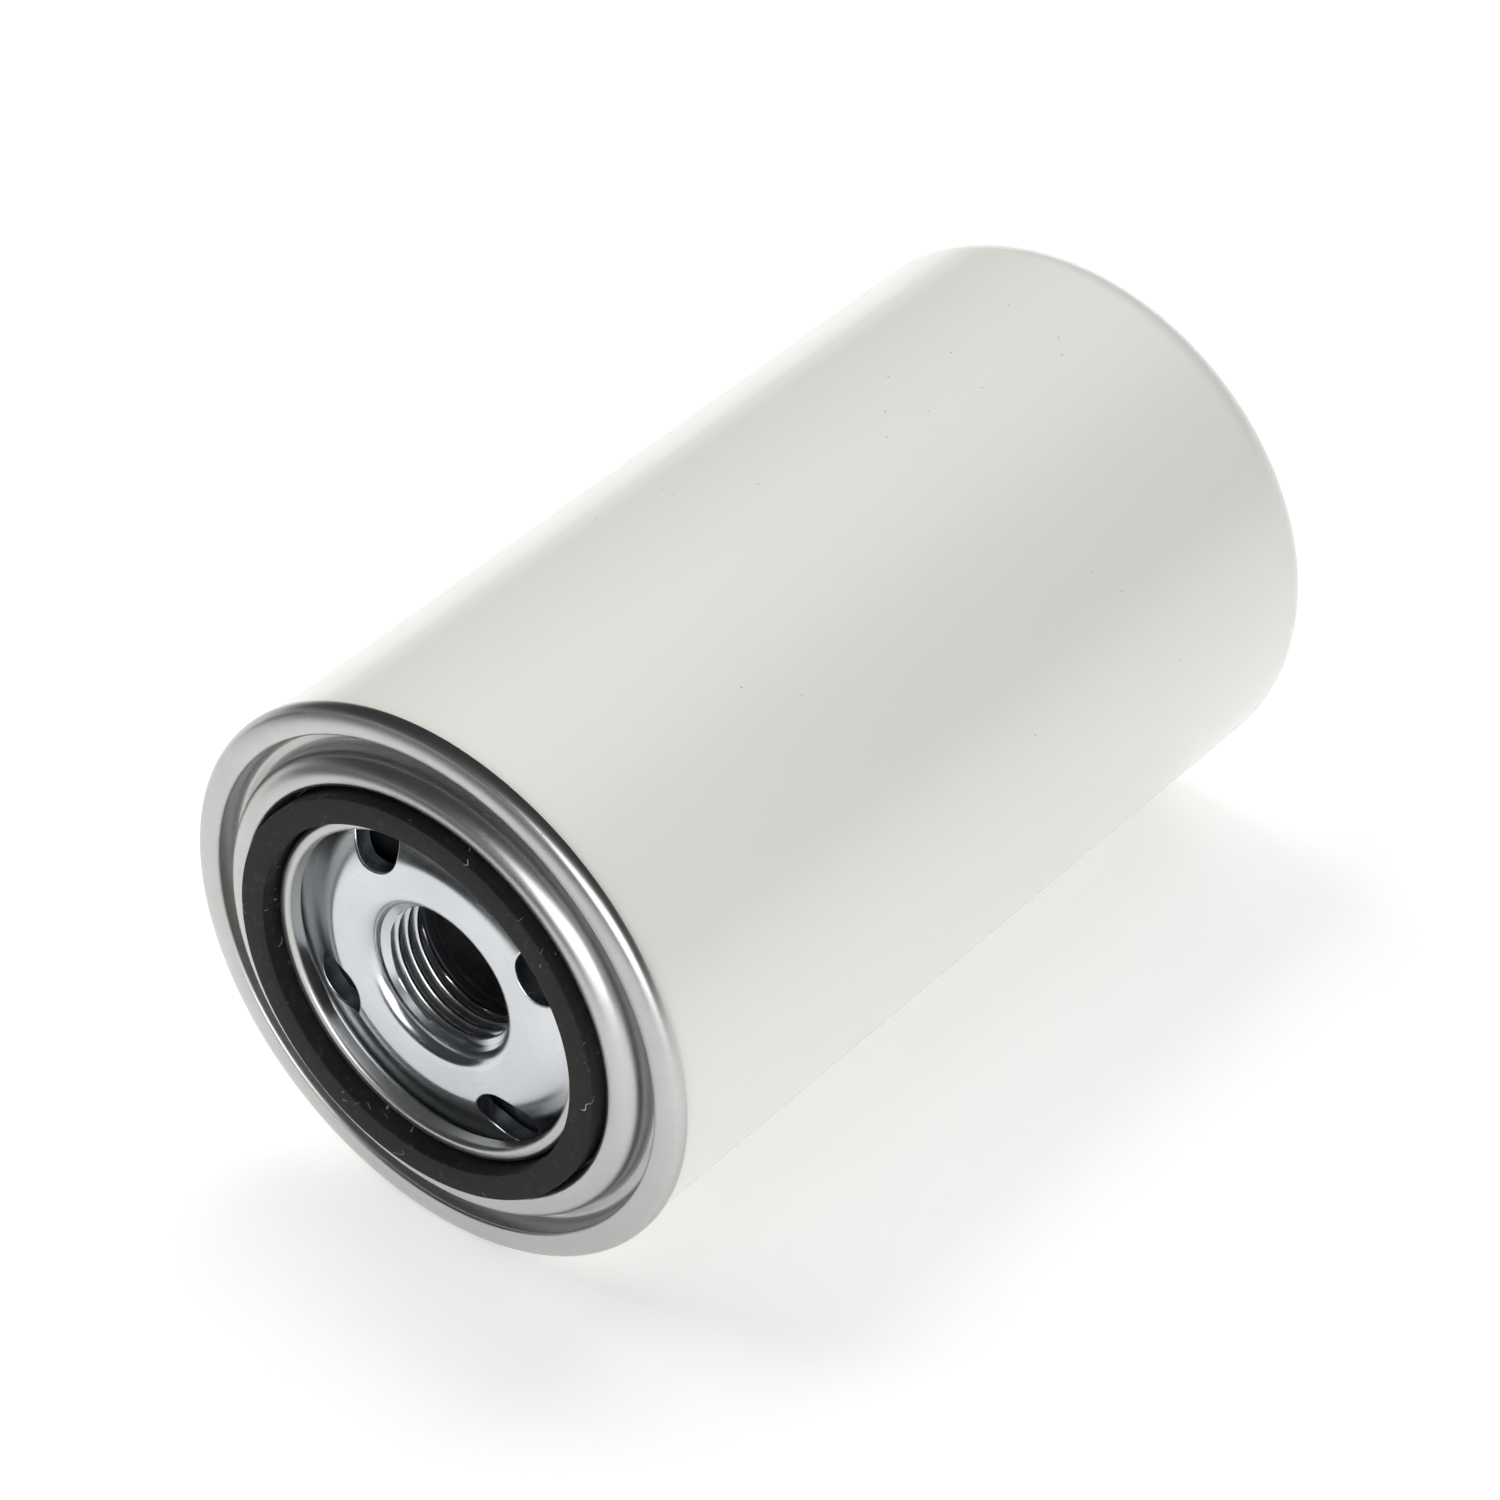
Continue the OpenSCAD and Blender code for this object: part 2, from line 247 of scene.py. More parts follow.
def soft_light(name, toward, distance, width, height, power, tint=(1, 1, 1)):
    """A rectangular light that stands off in one direction and faces the filter."""
    data = bpy.data.lights.new(name, "AREA")
    data.shape = "RECTANGLE"
    data.size, data.size_y = width, height
    data.energy = power
    data.color = tint
    light = bpy.data.objects.new(name, data)
    bpy.context.scene.collection.objects.link(light)
    away = Vector(toward).normalized()
    light.location = filter_middle + away * distance
    light.rotation_euler = away.to_track_quat("Z", "Y").to_euler()
    return light


soft_light("softbox_key", (0.56, -0.80, 0.33), 1.5, 1.6, 0.9, 14.5)
warm = (1.0, 0.99, 0.97)
fills = [
    soft_light("fill_left", (-0.65, -0.1, 0.9), 1.5, 1.4, 1.2, 15.5, warm),
    soft_light("fill_overhead", (-0.1, 0.6, 1.0), 1.6, 1.4, 1.2, 11.0, warm),
    soft_light("fill_right", (1.0, 0.35, 0.4), 1.6, 1.2, 1.0, 2.2, warm),
]
for fill in fills:
    fill.visible_glossy = False
print("one key light and three fills that metal doesn't mirror")

# %% [markdown]
# Bright metal looks like metal when it has something dark to mirror. A black card stands just in
# front of the lid, as on a product table. It shows only in reflections, so it darkens one edge
# of each rolled ring and hides nothing.

# %% Black card
bpy.ops.mesh.primitive_plane_add(size=1, location=(-0.11, -0.155, floor_z + 0.037),
                                 rotation=(math.radians(80), 0, math.radians(-20)))
card = bpy.context.object
card.name = "black_card"
card.scale = (0.46, 0.074, 1)
card.data.materials.append(matt_paper("black_card_paper", (0.02, 0.02, 0.018)))
card.visible_camera = card.visible_diffuse = card.visible_shadow = False
print("black card stands in front, seen only as a reflection")

# %% [markdown]
# The camera looks down at the open end from the right. A long lens keeps the can's sides nearly
# parallel. Its distance and aim are measured in rim radii, so it follows the filter's size.

# %% Camera
camera_azimuth = math.radians(39.03)
camera_elevation = math.radians(38.75)
camera_distance = 18.24 * rim_r * MM
aim_right, aim_up = 0.976 * rim_r * MM, 0.729 * rim_r * MM

camera_right = Vector((math.cos(camera_azimuth), math.sin(camera_azimuth), 0))
camera_ahead = Vector((-math.sin(camera_azimuth) * math.cos(camera_elevation),
                       math.cos(camera_azimuth) * math.cos(camera_elevation),
                       -math.sin(camera_elevation)))
camera_up = camera_right.cross(camera_ahead)
rim_middle = Vector((0, rim_y * MM, 0))

camera_data = bpy.data.cameras.new("camera")
camera_data.lens = 140.5
camera_data.sensor_width = 36
camera = bpy.data.objects.new("camera", camera_data)
bpy.context.scene.collection.objects.link(camera)
camera.location = (rim_middle + aim_right * camera_right + aim_up * camera_up
                   - camera_distance * camera_ahead)
camera.rotation_euler = camera_ahead.to_track_quat("-Z", "Y").to_euler()
bpy.context.scene.camera = camera
print(f"camera {camera.location.length:.3f} m from the origin")

# %% [markdown]
# ## Finishes
# A finish is a node tree. Each one starts from the place on the piece, in metres, and works
# out the angle round the axis, so that tool marks can run round a turned piece or straight out
# from its middle. Only colour, roughness, metal and the bump vary over a surface.

# %% What every finish starts from


class Finish(Recipe):
    """A material with one Principled shader."""

    def __init__(self, name, colour, roughness, **constants):
        self.material = bpy.data.materials.new(name)
        self.material.use_nodes = True
        super().__init__(self.material.node_tree)
        self.shader = self.tree.nodes["Principled BSDF"]
        self.shader.inputs["Base Color"].default_value = (*colour, 1)
        self.shader.inputs["Roughness"].default_value = roughness
        for key, value in constants.items():
            self.shader.inputs[key.replace("_", " ")].default_value = value
        self.place = self.add("ShaderNodeTexCoord", output="Object")
        self.x, self.y, self.z = self.parts(self.place)

    def feed(self, socket, wire):
        """Lets a wire drive one of the shader's inputs."""
        self.tree.links.new(wire.socket, self.shader.inputs[socket])

    def noise(self, scale, detail=2.0, roughness=0.5, at=None, distortion=0.0):
        """Soft random values; scale is how many grains there are in a metre."""
        return self.add("ShaderNodeTexNoise", inputs={"Vector": at or self.place, "Scale": scale,
                        "Detail": detail, "Roughness": roughness, "Distortion": distortion})

    def speckle(self, scale, size, at=None):
        """1 in small scattered dots and 0 between them."""
        cells = self.add("ShaderNodeTexVoronoi", inputs={"Vector": at or self.place, "Scale": scale})
        return (1 - cells / size).clamp()

    def turned_place(self, around, across, along):
        """Coordinates that follow a turned piece: angle, radius and place along the axis."""
        angle = self.z.math("ARCTAN2", self.x)
        radius = (self.x * self.x + self.z * self.z).math("SQRT")
        return self.xyz(angle * around, radius * across, self.y * along)

    def ramp(self, wire, *stops):
        """Stretches a wire's values, from (value, grey) to (value, grey)."""
        return self.add("ShaderNodeValToRGB", {"stops": stops}, {"Fac": wire})

    def tint(self, mask, colour_a, colour_b):
        """A colour that goes from a to b as the mask goes from 0 to 1."""
        def as_colour(c):
            return c if isinstance(c, Wire) else (*c, 1)
        return self.add("ShaderNodeMix", {"data_type": "RGBA"},
                        {0: mask, 6: as_colour(colour_a), 7: as_colour(colour_b)}, output=2)

    def bump(self, height, depth, strength=1.0, under=None):
        """Turns a height, from 0 to 1, into a surface that is depth millimetres deep."""
        inputs = {"Height": height, "Distance": depth * MM, "Strength": strength}
        if under is not None:
            inputs["Normal"] = under
        wire = self.add("ShaderNodeBump", inputs=inputs)
        self.feed("Normal", wire)
        return wire


def ready(material):
    """Prints how many nodes a finish has."""
    print(f"{material.name}: {len(material.node_tree.nodes)} nodes")
    return material

# %% [markdown]
# The can is dipped and stoved in a warm white enamel. Enamel flows before it hardens, so it is
# glossy with a slow orange-peel ripple, and a few specks of dust are caught in it.


# %% Painted can
def painted_can():
    paint = Finish("white_enamel", (0.62, 0.615, 0.585), 0.32, Coat_Weight=0.55, Coat_Roughness=0.08,
                   Specular_IOR_Level=0.45)
    cloud = paint.noise(14, 2.0)
    specks = paint.speckle(260, 0.055) * (paint.noise(30) > 0.56)
    shade = paint.tint(cloud, (0.775, 0.770, 0.735), (0.755, 0.750, 0.722))
    paint.feed("Base Color", paint.tint(specks, shade, (0.10, 0.09, 0.08)))
    paint.feed("Roughness", 0.27 + 0.1 * paint.noise(55, 3.0))
    peel = paint.noise(420, 1.0)
    slow = paint.noise(40, 1.0)
    paint.bump(peel * 0.25 + slow * 0.75, 0.02, 0.35)
    return paint.material


enamel = ready(painted_can())


# %% [markdown]
# The lid is pressed from galvanised sheet. Its seam is rolled by wheels that run round it, so
# fine lines follow the rim, with a satin grain of streaks and small dark spots over the whole pressing.


# %% Zinc lid
def zinc_lid():
    zinc = Finish("galvanised_zinc", (0.60, 0.605, 0.60), 0.3, Metallic=1.0)
    rings = zinc.noise(1.0, 3.0, 0.6, zinc.turned_place(1.6, 3000, 3000))
    streaks = zinc.noise(1.0, 3.0, 0.7, zinc.turned_place(60, 160, 160))
    grime = zinc.ramp(zinc.noise(110, 4.0, 0.65), (0.35, 0), (0.75, 1))
    spots = zinc.speckle(520, 0.12) * (zinc.noise(60) > 0.6)
    clean = zinc.tint(streaks, (0.50, 0.51, 0.50), (0.58, 0.585, 0.575))
    worn = zinc.tint(grime * 0.2, clean, (0.42, 0.43, 0.42))
    zinc.feed("Base Color", zinc.tint(spots * 0.7, worn, (0.16, 0.16, 0.16)))
    zinc.feed("Roughness", (0.27 + 0.05 * streaks + 0.05 * rings + 0.05 * grime).clamp(0.1, 0.6))
    zinc.bump(rings * 0.7 + streaks * 0.3, 0.006, 0.25)
    return zinc.material


lid_finish = ready(zinc_lid())


# %% [markdown]
# The threaded plate is bright zinc plate: smoother than the lid and slightly blue, with the
# faint pink and yellow bloom that passivation leaves.


# %% Bright zinc plate
def bright_zinc():
    plate = Finish("bright_zinc_plating", (0.72, 0.75, 0.78), 0.2, Metallic=1.0)
    bloom = plate.ramp(plate.noise(70, 2.0), (0.35, 0), (0.7, 1))
    patch = plate.ramp(plate.noise(48, 1.0, at=plate.turned_place(2.4, 70, 70)), (0.45, 0), (0.62, 1))
    haze = plate.noise(900, 3.0, 0.7)
    lines = plate.noise(1.0, 2.0, 0.5, plate.turned_place(3.0, 2600, 700))
    scratch = plate.ramp(lines, (0.62, 0), (0.74, 1))
    cool = plate.tint(bloom, (0.56, 0.60, 0.635), (0.66, 0.69, 0.71))
    warm = plate.tint(patch * 0.35, cool, (0.69, 0.64, 0.67))
    plate.feed("Base Color", plate.tint(scratch * 0.25, warm, (0.45, 0.46, 0.48)))
    plate.feed("Roughness", (0.17 + 0.05 * haze + 0.07 * bloom + 0.08 * scratch).clamp(0.08, 0.5))
    plate.bump(haze * 0.4 + scratch * 0.6, 0.004, 0.25)
    return plate.material


plate_finish = ready(bright_zinc())


# %% [markdown]
# The gasket is nitrile rubber, cut from an extruded sleeve. It is charcoal rather than black,
# dull on its face, and the knife leaves faint arcs. Pale nicks are scattered over it.


# %% Gasket rubber
def gasket_rubber():
    rubber = Finish("nitrile_rubber", (0.015, 0.0145, 0.014), 0.55, Specular_IOR_Level=0.15)
    knife = rubber.noise(1.0, 3.0, 0.6, rubber.turned_place(5.0, 2400, 600))
    dust = rubber.ramp(rubber.noise(700, 5.0, 0.75), (0.55, 0), (0.8, 1))
    wipe = rubber.ramp(rubber.noise(45, 3.0), (0.4, 0), (0.75, 1))
    nicks = rubber.speckle(640, 0.1) * (rubber.noise(90) > 0.6)
    loops = (rubber.noise(210, 1.0) - 0.5).math("ABSOLUTE") < 0.0032
    lint = loops * (rubber.noise(330, 1.0) > 0.64)
    marks = (nicks * 0.8 + lint).clamp()
    base = rubber.tint(wipe, (0.010, 0.0098, 0.0095), (0.018, 0.017, 0.016))
    dusty = rubber.tint(dust * 0.22, base, (0.16, 0.155, 0.15))
    rubber.feed("Base Color", rubber.tint(marks, dusty, (0.30, 0.29, 0.28)))
    rubber.feed("Roughness", (0.46 + 0.14 * wipe + 0.1 * knife).clamp(0.3, 0.85))
    rubber.bump(knife * 0.55 + rubber.noise(1500, 3.0) * 0.45, 0.03, 0.45)
    return rubber.material


gasket_finish = ready(gasket_rubber())

# %% [markdown]
# The valve and the other inner seals are moulded, not cut, so their rubber is smoother than the
# gasket's. It looks almost black through the oil holes. Random oily patches are rougher and get a
# bluish sheen painted into their colour.


# %% Moulded rubber
def valve_rubber():
    rubber = Finish("moulded_rubber", (0.016, 0.019, 0.023), 0.42, Specular_IOR_Level=0.5)
    oil_patch_and_painted_sheen = rubber.ramp(rubber.noise(80, 3.0), (0.35, 0), (0.7, 1))
    grain = rubber.noise(1400, 2.0)
    # Painted sheen: oily patches get a bluish colour that stands in for a reflection.
    rubber.feed("Base Color", rubber.tint(oil_patch_and_painted_sheen, (0.012, 0.015, 0.019), (0.024, 0.028, 0.034)))
    rubber.feed("Roughness", 0.33 + 0.2 * oil_patch_and_painted_sheen)
    rubber.bump(grain, 0.02, 0.3)
    return rubber.material


moulded_rubber = ready(valve_rubber())

# %% [markdown]
# ## Shapes by rule
# Nearly every piece of a filter is turned: an outline in radius and height, carried round the
# axis. One Geometry Nodes tree does that for all of them. It lays a grid with one column for
# each step round the axis and one row for each outline point, looks up each point's place on
# the outline, and bends the grid round the axis. Pieces with their own rule get their own tree.
# The steps that the trees share are methods of one class.

# %% A tree with named inputs


class Rule(Recipe):
    """A Geometry Nodes tree; rule["Pitch"] is the wire of its input of that name."""

    def __init__(self, name, counts, numbers):
        super().__init__(bpy.data.node_groups.new(name, "GeometryNodeTree"))
        kinds = {"Geometry": "Geometry", **dict.fromkeys(counts, "Int"),
                 **dict.fromkeys(numbers, "Float"), "Material": "Material"}
        sockets = self.tree.interface
        for label, kind in kinds.items():
            sockets.new_socket(label, in_out="INPUT", socket_type=f"NodeSocket{kind}")
        sockets.new_socket("Geometry", in_out="OUTPUT", socket_type="NodeSocketGeometry")
        self.source = self.add("NodeGroupInput")

    def __getitem__(self, label):
        return self.of(self.source, label)

    def here(self):
        """Where each point is."""
        return self.add("GeometryNodeInputPosition")

    def outline_points(self):
        """How many points the outline has."""
        size = self.add("GeometryNodeAttributeDomainSize", {"component": "MESH"},
                        {"Geometry": self["Geometry"]})
        return self.of(size, "Point Count")

    def outline_at(self, number):
        """The two coordinates of one point of the outline."""
        point = self.add("GeometryNodeSampleIndex", {"data_type": "FLOAT_VECTOR", "domain": "POINT"},
                         {"Geometry": self["Geometry"], "Index": number, "Value": self.here()})
        return self.parts(point)[:2]

    def grid(self, columns, rows):
        """A flat grid, with each point's share of the way across and its row number."""
        flat = self.add("GeometryNodeMeshGrid", inputs={
            "Size X": 1.0, "Size Y": 1.0, "Vertices X": columns, "Vertices Y": rows})
        x, y, _ = self.parts(self.here())
        return flat, x + 0.5, ((y + 0.5) * (rows - 1)).math("ROUND")

    def put(self, shape, x, y, z):
        """Moves each point of a shape to a new place."""
        return self.add("GeometryNodeSetPosition", inputs={"Geometry": shape, "Position": self.xyz(x, y, z)})

    def bend(self, shape, radius, turn, y):
        """Moves each point to a radius, an angle round the axis and a place along it."""
        return self.put(shape, radius * turn.math("COSINE"), y, radius * turn.math("SINE"))

    def merge(self, shape):
        """Makes one point of points that lie in the same place."""
        return self.add("GeometryNodeMergeByDistance", inputs={"Geometry": shape, "Distance": 1e-6})

    def repeat(self, shape, count, y=0.0, spin=0.0):
        """Copies a shape and moves each copy along the axis and turns it round it."""
        spots = self.add("GeometryNodeMeshLine", inputs={"Count": count, "Offset": (0, 0, 0)})
        return self.add("GeometryNodeInstanceOnPoints", inputs={
            "Points": self.put(spots, 0.0, y, 0.0), "Instance": shape, "Rotation": self.xyz(y=spin)})

    def end(self, shape):
        """Realizes the shape, gives it its finish and sends it out of the tree."""
        real = self.add("GeometryNodeRealizeInstances", inputs={"Geometry": shape})
        done = self.add("GeometryNodeSetMaterial", inputs={"Geometry": real, "Material": self["Material"]})
        sink = self.tree.nodes.new("NodeGroupOutput")
        self.tree.links.new(done.socket, sink.inputs["Geometry"])
        print(f"rule {self.tree.name}: {len(self.tree.nodes)} nodes")


# %% [markdown]
# A rule runs as a modifier on a tiny mesh that holds the outline. Its inputs are set by their
# identifiers before it is first evaluated. The result then becomes a plain mesh: doubles are
# merged, open rims are filled, faces are turned outwards, and the number of open edges is
# printed, because a closed piece has none.

# %% Running a rule


def metres(**lengths):
    """A rule's inputs that are lengths, from millimetres; an underscore stands for a space."""
    return {name.replace("_", " "): length * MM for name, length in lengths.items()}


def make_piece(name, rule, values, points=((0, 0),), sharp=35, closed=True):
    """Runs a rule on an outline of (radius, y) points and returns the finished mesh object."""
    mesh = bpy.data.meshes.new(name)
    mesh.from_pydata([(r * MM, y * MM, 0) for r, y in points],
                     [(i, i + 1) for i in range(len(points) - 1)], [])
    piece = bpy.data.objects.new(name, mesh)
    bpy.context.scene.collection.objects.link(piece)
    modifier = piece.modifiers.new("rule", "NODES")
    modifier.node_group = rule.tree
    for item in rule.tree.interface.items_tree:
        if item.in_out == "INPUT" and item.name in values:
            modifier[item.identifier] = values[item.name]
    return finish_mesh(piece, sharp, closed)


def merge_doubles(work, reach=0.002 * MM):
    """Merges points that are nearly in the same place, and the slivers between them."""
    bmesh.ops.remove_doubles(work, verts=work.verts, dist=reach)
    bmesh.ops.dissolve_degenerate(work, edges=work.edges, dist=reach / 2)


def finish_mesh(piece, sharp=35, closed=True):
    """Turns what the modifiers make into a plain mesh with closed seams and outward faces."""
    graph = bpy.context.evaluated_depsgraph_get()
    made = bpy.data.meshes.new_from_object(piece.evaluated_get(graph))
    piece.modifiers.clear()
    piece.data = made
    made.name = piece.name
    work = bmesh.new()
    work.from_mesh(made)
    merge_doubles(work)
    if closed:
        rim_edges = [edge for edge in work.edges if len(edge.link_faces) == 1]
        bmesh.ops.holes_fill(work, edges=rim_edges, sides=0)
        bmesh.ops.recalc_face_normals(work, faces=work.faces)
    loose = [edge for edge in work.edges if not edge.link_faces]
    bmesh.ops.delete(work, geom=loose, context="EDGES")
    open_edges = sum(len(edge.link_faces) != 2 for edge in work.edges)
    work.to_mesh(made)
    work.free()
    for face in made.polygons:
        face.use_smooth = True
    made.set_sharp_from_angle(angle=math.radians(sharp))
    print(f"{piece.name}: {len(made.polygons)} faces, {open_edges} open edges")
    return piece


def cut_out(piece, cutter, sharp):
    """Cuts one closed mesh out of another, and takes the cutter away."""
    cut = piece.modifiers.new("cut", "BOOLEAN")
    cut.operation, cut.solver, cut.object = "DIFFERENCE", "MANIFOLD", cutter
    piece = finish_mesh(piece, sharp)
    bpy.data.objects.remove(cutter)
    return piece


# %% [markdown]
# Outlines come from three helpers. An arc is a bend of known radius, rounded() softens the
# corners of a list, and sheet() lays one sheet thickness beside a path, as a press does.

# %% Outlines


def arc(centre, radius, start, end, steps=8):
    """Points on an arc about a centre, from one angle to another, in degrees."""
    turns = [math.radians(start + (end - start) * i / steps) for i in range(steps + 1)]
    return [(centre[0] + radius * math.cos(t), centre[1] + radius * math.sin(t)) for t in turns]


def rounded(corners, steps=5, closed=True):
    """An outline or a path through (radius, y, rounding) corners."""
    outline = []
    for i, (r, y, rounding) in enumerate(corners):
        here = Vector((r, y))
        before = Vector(corners[i - 1][:2]) - here
        after = Vector(corners[(i + 1) % len(corners)][:2]) - here
        if rounding <= 0 or not closed and i in (0, len(corners) - 1):
            outline.append((r, y))
            continue
        half = before.angle(after) / 2
        reach = min(rounding / math.tan(half), before.length * 0.49, after.length * 0.49)
        a, b = here + before.normalized() * reach, here + after.normalized() * reach
        for k in range(steps + 1):
            t = k / steps
            point = a * (1 - t) ** 2 + here * 2 * t * (1 - t) + b * t ** 2
            outline.append((point.x, point.y))
    return outline + outline[:1] if closed else outline


def sheet(path, thickness):
    """The closed outline of a pressed sheet whose one face follows a path."""
    points = [Vector(p) for p in path]
    last = len(points) - 1
    other = []
    for i in range(last + 1):
        along_a = (points[min(i + 1, last)] - points[min(i, last - 1)]).normalized()
        along_b = (points[max(i, 1)] - points[max(i - 1, 0)]).normalized()
        a, b = Vector((-along_a.y, along_a.x)), Vector((-along_b.y, along_b.x))
        other.append(points[i] + (a + b) / (1 + a.dot(b)) * thickness)
    outline = [tuple(p) for p in points] + [tuple(p) for p in reversed(other)]
    return outline + outline[:1]


print("a rounded square has", len(rounded([(0, 0, 1), (9, 0, 1), (9, 9, 1), (0, 9, 1)])), "points")


# %% [markdown]
# The turning rule reads an outline row by row. Its last column meets its first one, and the two
# are merged afterwards. A slow noise can push the radius in and out by a few hundredths of a
# millimetre, which is what rubber and thin sheet really do.

# %% The turning rule
turning = Rule("turning", ["Steps"], ["Wobble", "Seed"])
grid, share, row = turning.grid(turning["Steps"] + 1, turning.outline_points())
turn = share * math.tau
outline_r, outline_y = turning.outline_at(row)
around = turning.xyz(turn.math("COSINE"), outline_y * 80, turn.math("SINE"))
unevenness = turning.add("ShaderNodeTexNoise", {"noise_dimensions": "4D"},
                         {"Vector": around, "W": turning["Seed"], "Scale": 2.2, "Detail": 2.0}) - 0.5
turning.end(turning.bend(grid, outline_r + unevenness * turning["Wobble"], turn, outline_y))


def turned(name, points, material, steps=192, wobble=0.0, seed=0.0, sharp=35, closed=True):
    """A turned piece from an outline."""
    return make_piece(name, turning, {"Steps": steps, "Wobble": wobble * MM, "Seed": seed,
                      "Material": material}, points, sharp, closed)


def stand_for(piece, body, slot, *nodes):
    """Attaches a finished piece to the body that it moves with and hides the nodes that it stands for; slot
    is not used.
    """
    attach(piece, body)
    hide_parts(*nodes)
    return piece


# %% [markdown]
# ## The can
# The can is deep drawn from one disc, so its wall runs into the closed end through a round
# corner. Its open edge is hooked inwards, where the lid's seam folds over it.

# %% Can
can_t = 0.55
can_corner = 7.6
hook_r = 0.8
hook_y = rim_y + 1.05
chuck_wall_r = rim_r - 4.7
can_path = (
    [(chuck_wall_r + 1.2, rim_y + 1.6)]
    + arc((chuck_wall_r + 2, hook_y), hook_r, 180, 270, 8)
    + arc((can_r - hook_r, hook_y), hook_r, -90, 0, 8)
    + arc((can_r - can_corner, can_end_y - can_corner), can_corner, 0, 90, 28)
    + [(can_r * share, can_end_y) for share in (0.6, 0.35, 0.12, 0)]
)
can = turned("painted_can", sheet(can_path, can_t), enamel, 256, sharp=50)
stand_for(can, "housing", "painted_can", "can")

# %% [markdown]
# ## The lid
# The lid is one pressing. From the outside in it has the rolled seam, a wall that the seaming
# chuck sits against, a channel, a rounded ridge, the gasket's groove and a rolled inner lip.

# %% Seaming lid
lid_t = 0.6
annulus_y = plate_face_y + 2.8
groove_floor_y = annulus_y - lid_t
rim_crest_y = rim_y - 1.5
channel_y = rim_crest_y + 3.9
ridge_crest_y = rim_y - 3.3
lip_crest_y = rim_y - 2.4
groove_in_r, groove_out_r = 29.6, gasket_r + 0.65
ridge_out_r = groove_out_r + 4.7
lip_r, lip_flat = 0.9, 0.5
tight_r, bend_r, ridge_r = 0.65, 0.9, 3.4
seam_r, seam_face_r = 1.7, 6.2
seam_end = -72
seam_middle = (rim_r - seam_r, rim_y + 0.3)
seam_turn = math.radians(seam_end)
face_middle = (seam_middle[0] - (seam_face_r - seam_r) * math.cos(seam_turn),
               seam_middle[1] - (seam_face_r - seam_r) * math.sin(seam_turn))
lid_path = (
    [(rim_r - 0.05, rim_y + 0.75), (rim_r, rim_y + 0.68)]
    + arc(seam_middle, seam_r, 0, seam_end, 16)
    + arc(face_middle, seam_face_r, seam_end - 2, seam_end - 26, 12)
    + arc((chuck_wall_r + tight_r, rim_crest_y + tight_r), tight_r, -100, -180, 10)
    + arc((chuck_wall_r - 0.35 - bend_r, channel_y - bend_r), bend_r, 0, 90, 8)
    + arc((ridge_out_r + bend_r, channel_y - bend_r), bend_r, 90, 180, 8)
    + arc((ridge_out_r - ridge_r, ridge_crest_y + ridge_r), ridge_r, 0, -90, 22)
    + arc((groove_out_r + bend_r, ridge_crest_y + bend_r), bend_r, -90, -180, 10)
    + arc((groove_out_r - tight_r, groove_floor_y - tight_r), tight_r, 0, 90, 6)
    + arc((groove_in_r + tight_r, groove_floor_y - tight_r), tight_r, 90, 180, 6)
    + arc((groove_in_r - lip_r, lip_crest_y + lip_r), lip_r, 0, -90, 10)
    + arc((groove_in_r - lip_r - lip_flat, lip_crest_y + lip_r), lip_r, -90, -180, 10)
    + [(groove_in_r - 2 * lip_r - lip_flat, rim_y + 0.15)]
)
lid = turned("seaming_lid_pressing", sheet(lid_path, -lid_t), lid_finish, 256, 0.02, 1.7, sharp=50)
stand_for(lid, "housing", "zinc_lid", "seaming_lid")

# %% [markdown]
# ## The gasket
# A square-section ring that fills most of its groove. Rubber rings are never quite round, so
# the outline wanders by a few hundredths of a millimetre.

# %% Gasket
gasket_in_r = groove_in_r + 0.4
front_edge, back_edge = 0.28, 0.2
gasket_outline = rounded([
    (gasket_in_r, gasket_front_y, front_edge), (gasket_r, gasket_front_y, front_edge),
    (gasket_r, gasket_back_y, back_edge), (gasket_in_r, gasket_back_y, back_edge),
])
gasket = turned("sealing_gasket", gasket_outline, gasket_finish, 256, 0.12, 4.2, sharp=60)
stand_for(gasket, "housing", "gasket_rubber", "gasket")

# %% [markdown]
# ## The threaded plate
# The plate is a thick pressing with a drawn collar that is tapped to 1 inch, 12 threads to the
# inch. The thread is a true helix: its grid is sheared by one pitch in a turn, so that its rows
# follow the crests, and it takes whichever is wider of the thread and the two lead-in cones.
# The four oil holes are cut by spools whose flare follows the plate's slope, which leaves each
# hole a rounded edge of even width.

# %% Plate sizes
thread_pitch = 25.4 / 12
bore_r = 11.55
root_r = 12.72
cone_r = 12.9
cone_start_y = plate_face_y + 2.3
cone_length = 0.9
flat_r, foot_r = 19.7, 28.3
plate_t = 3.0
collar_r = bore_r + 2.65
plate_steps = 256
mouth_r = 2.4


def plate_front(r):
    """How far back the plate's front face lies at a radius."""
    t = min(max((r - flat_r) / (foot_r - flat_r), 0), 1)
    return plate_face_y + (annulus_y - plate_face_y) * t * t * (3 - 2 * t)


print(f"thread pitch {thread_pitch:.3f} mm, plate shoulder {plate_front(foot_r) - plate_face_y:.1f} mm deep")

# %% Thread rule
threading = Rule("threading", ["Steps"], [
    "Pitch", "Crest Radius", "Root Radius", "Cone Radius", "Start", "End", "Cone Slope", "Phase",
    "Rows Per Pitch"])
pitch, start, end = (threading[label] for label in ("Pitch", "Start", "End"))
crest_share, flank_share = 0.25, 0.6
row_step = pitch / threading["Rows Per Pitch"]
thread_rows = ((end - start + pitch) / row_step).math("CEIL") + 2
grid, share, row = threading.grid(threading["Steps"] + 1, thread_rows)
along = (start + row * row_step - share * pitch).math("MAXIMUM", start).math("MINIMUM", end)
phase = (along / pitch + share + threading["Phase"]).math("FRACT")
flank = (((phase - 0.5).math("ABSOLUTE") * 2 - crest_share) / flank_share).clamp()
thread_radius = threading["Crest Radius"] + (threading["Root Radius"] - threading["Crest Radius"]) * flank
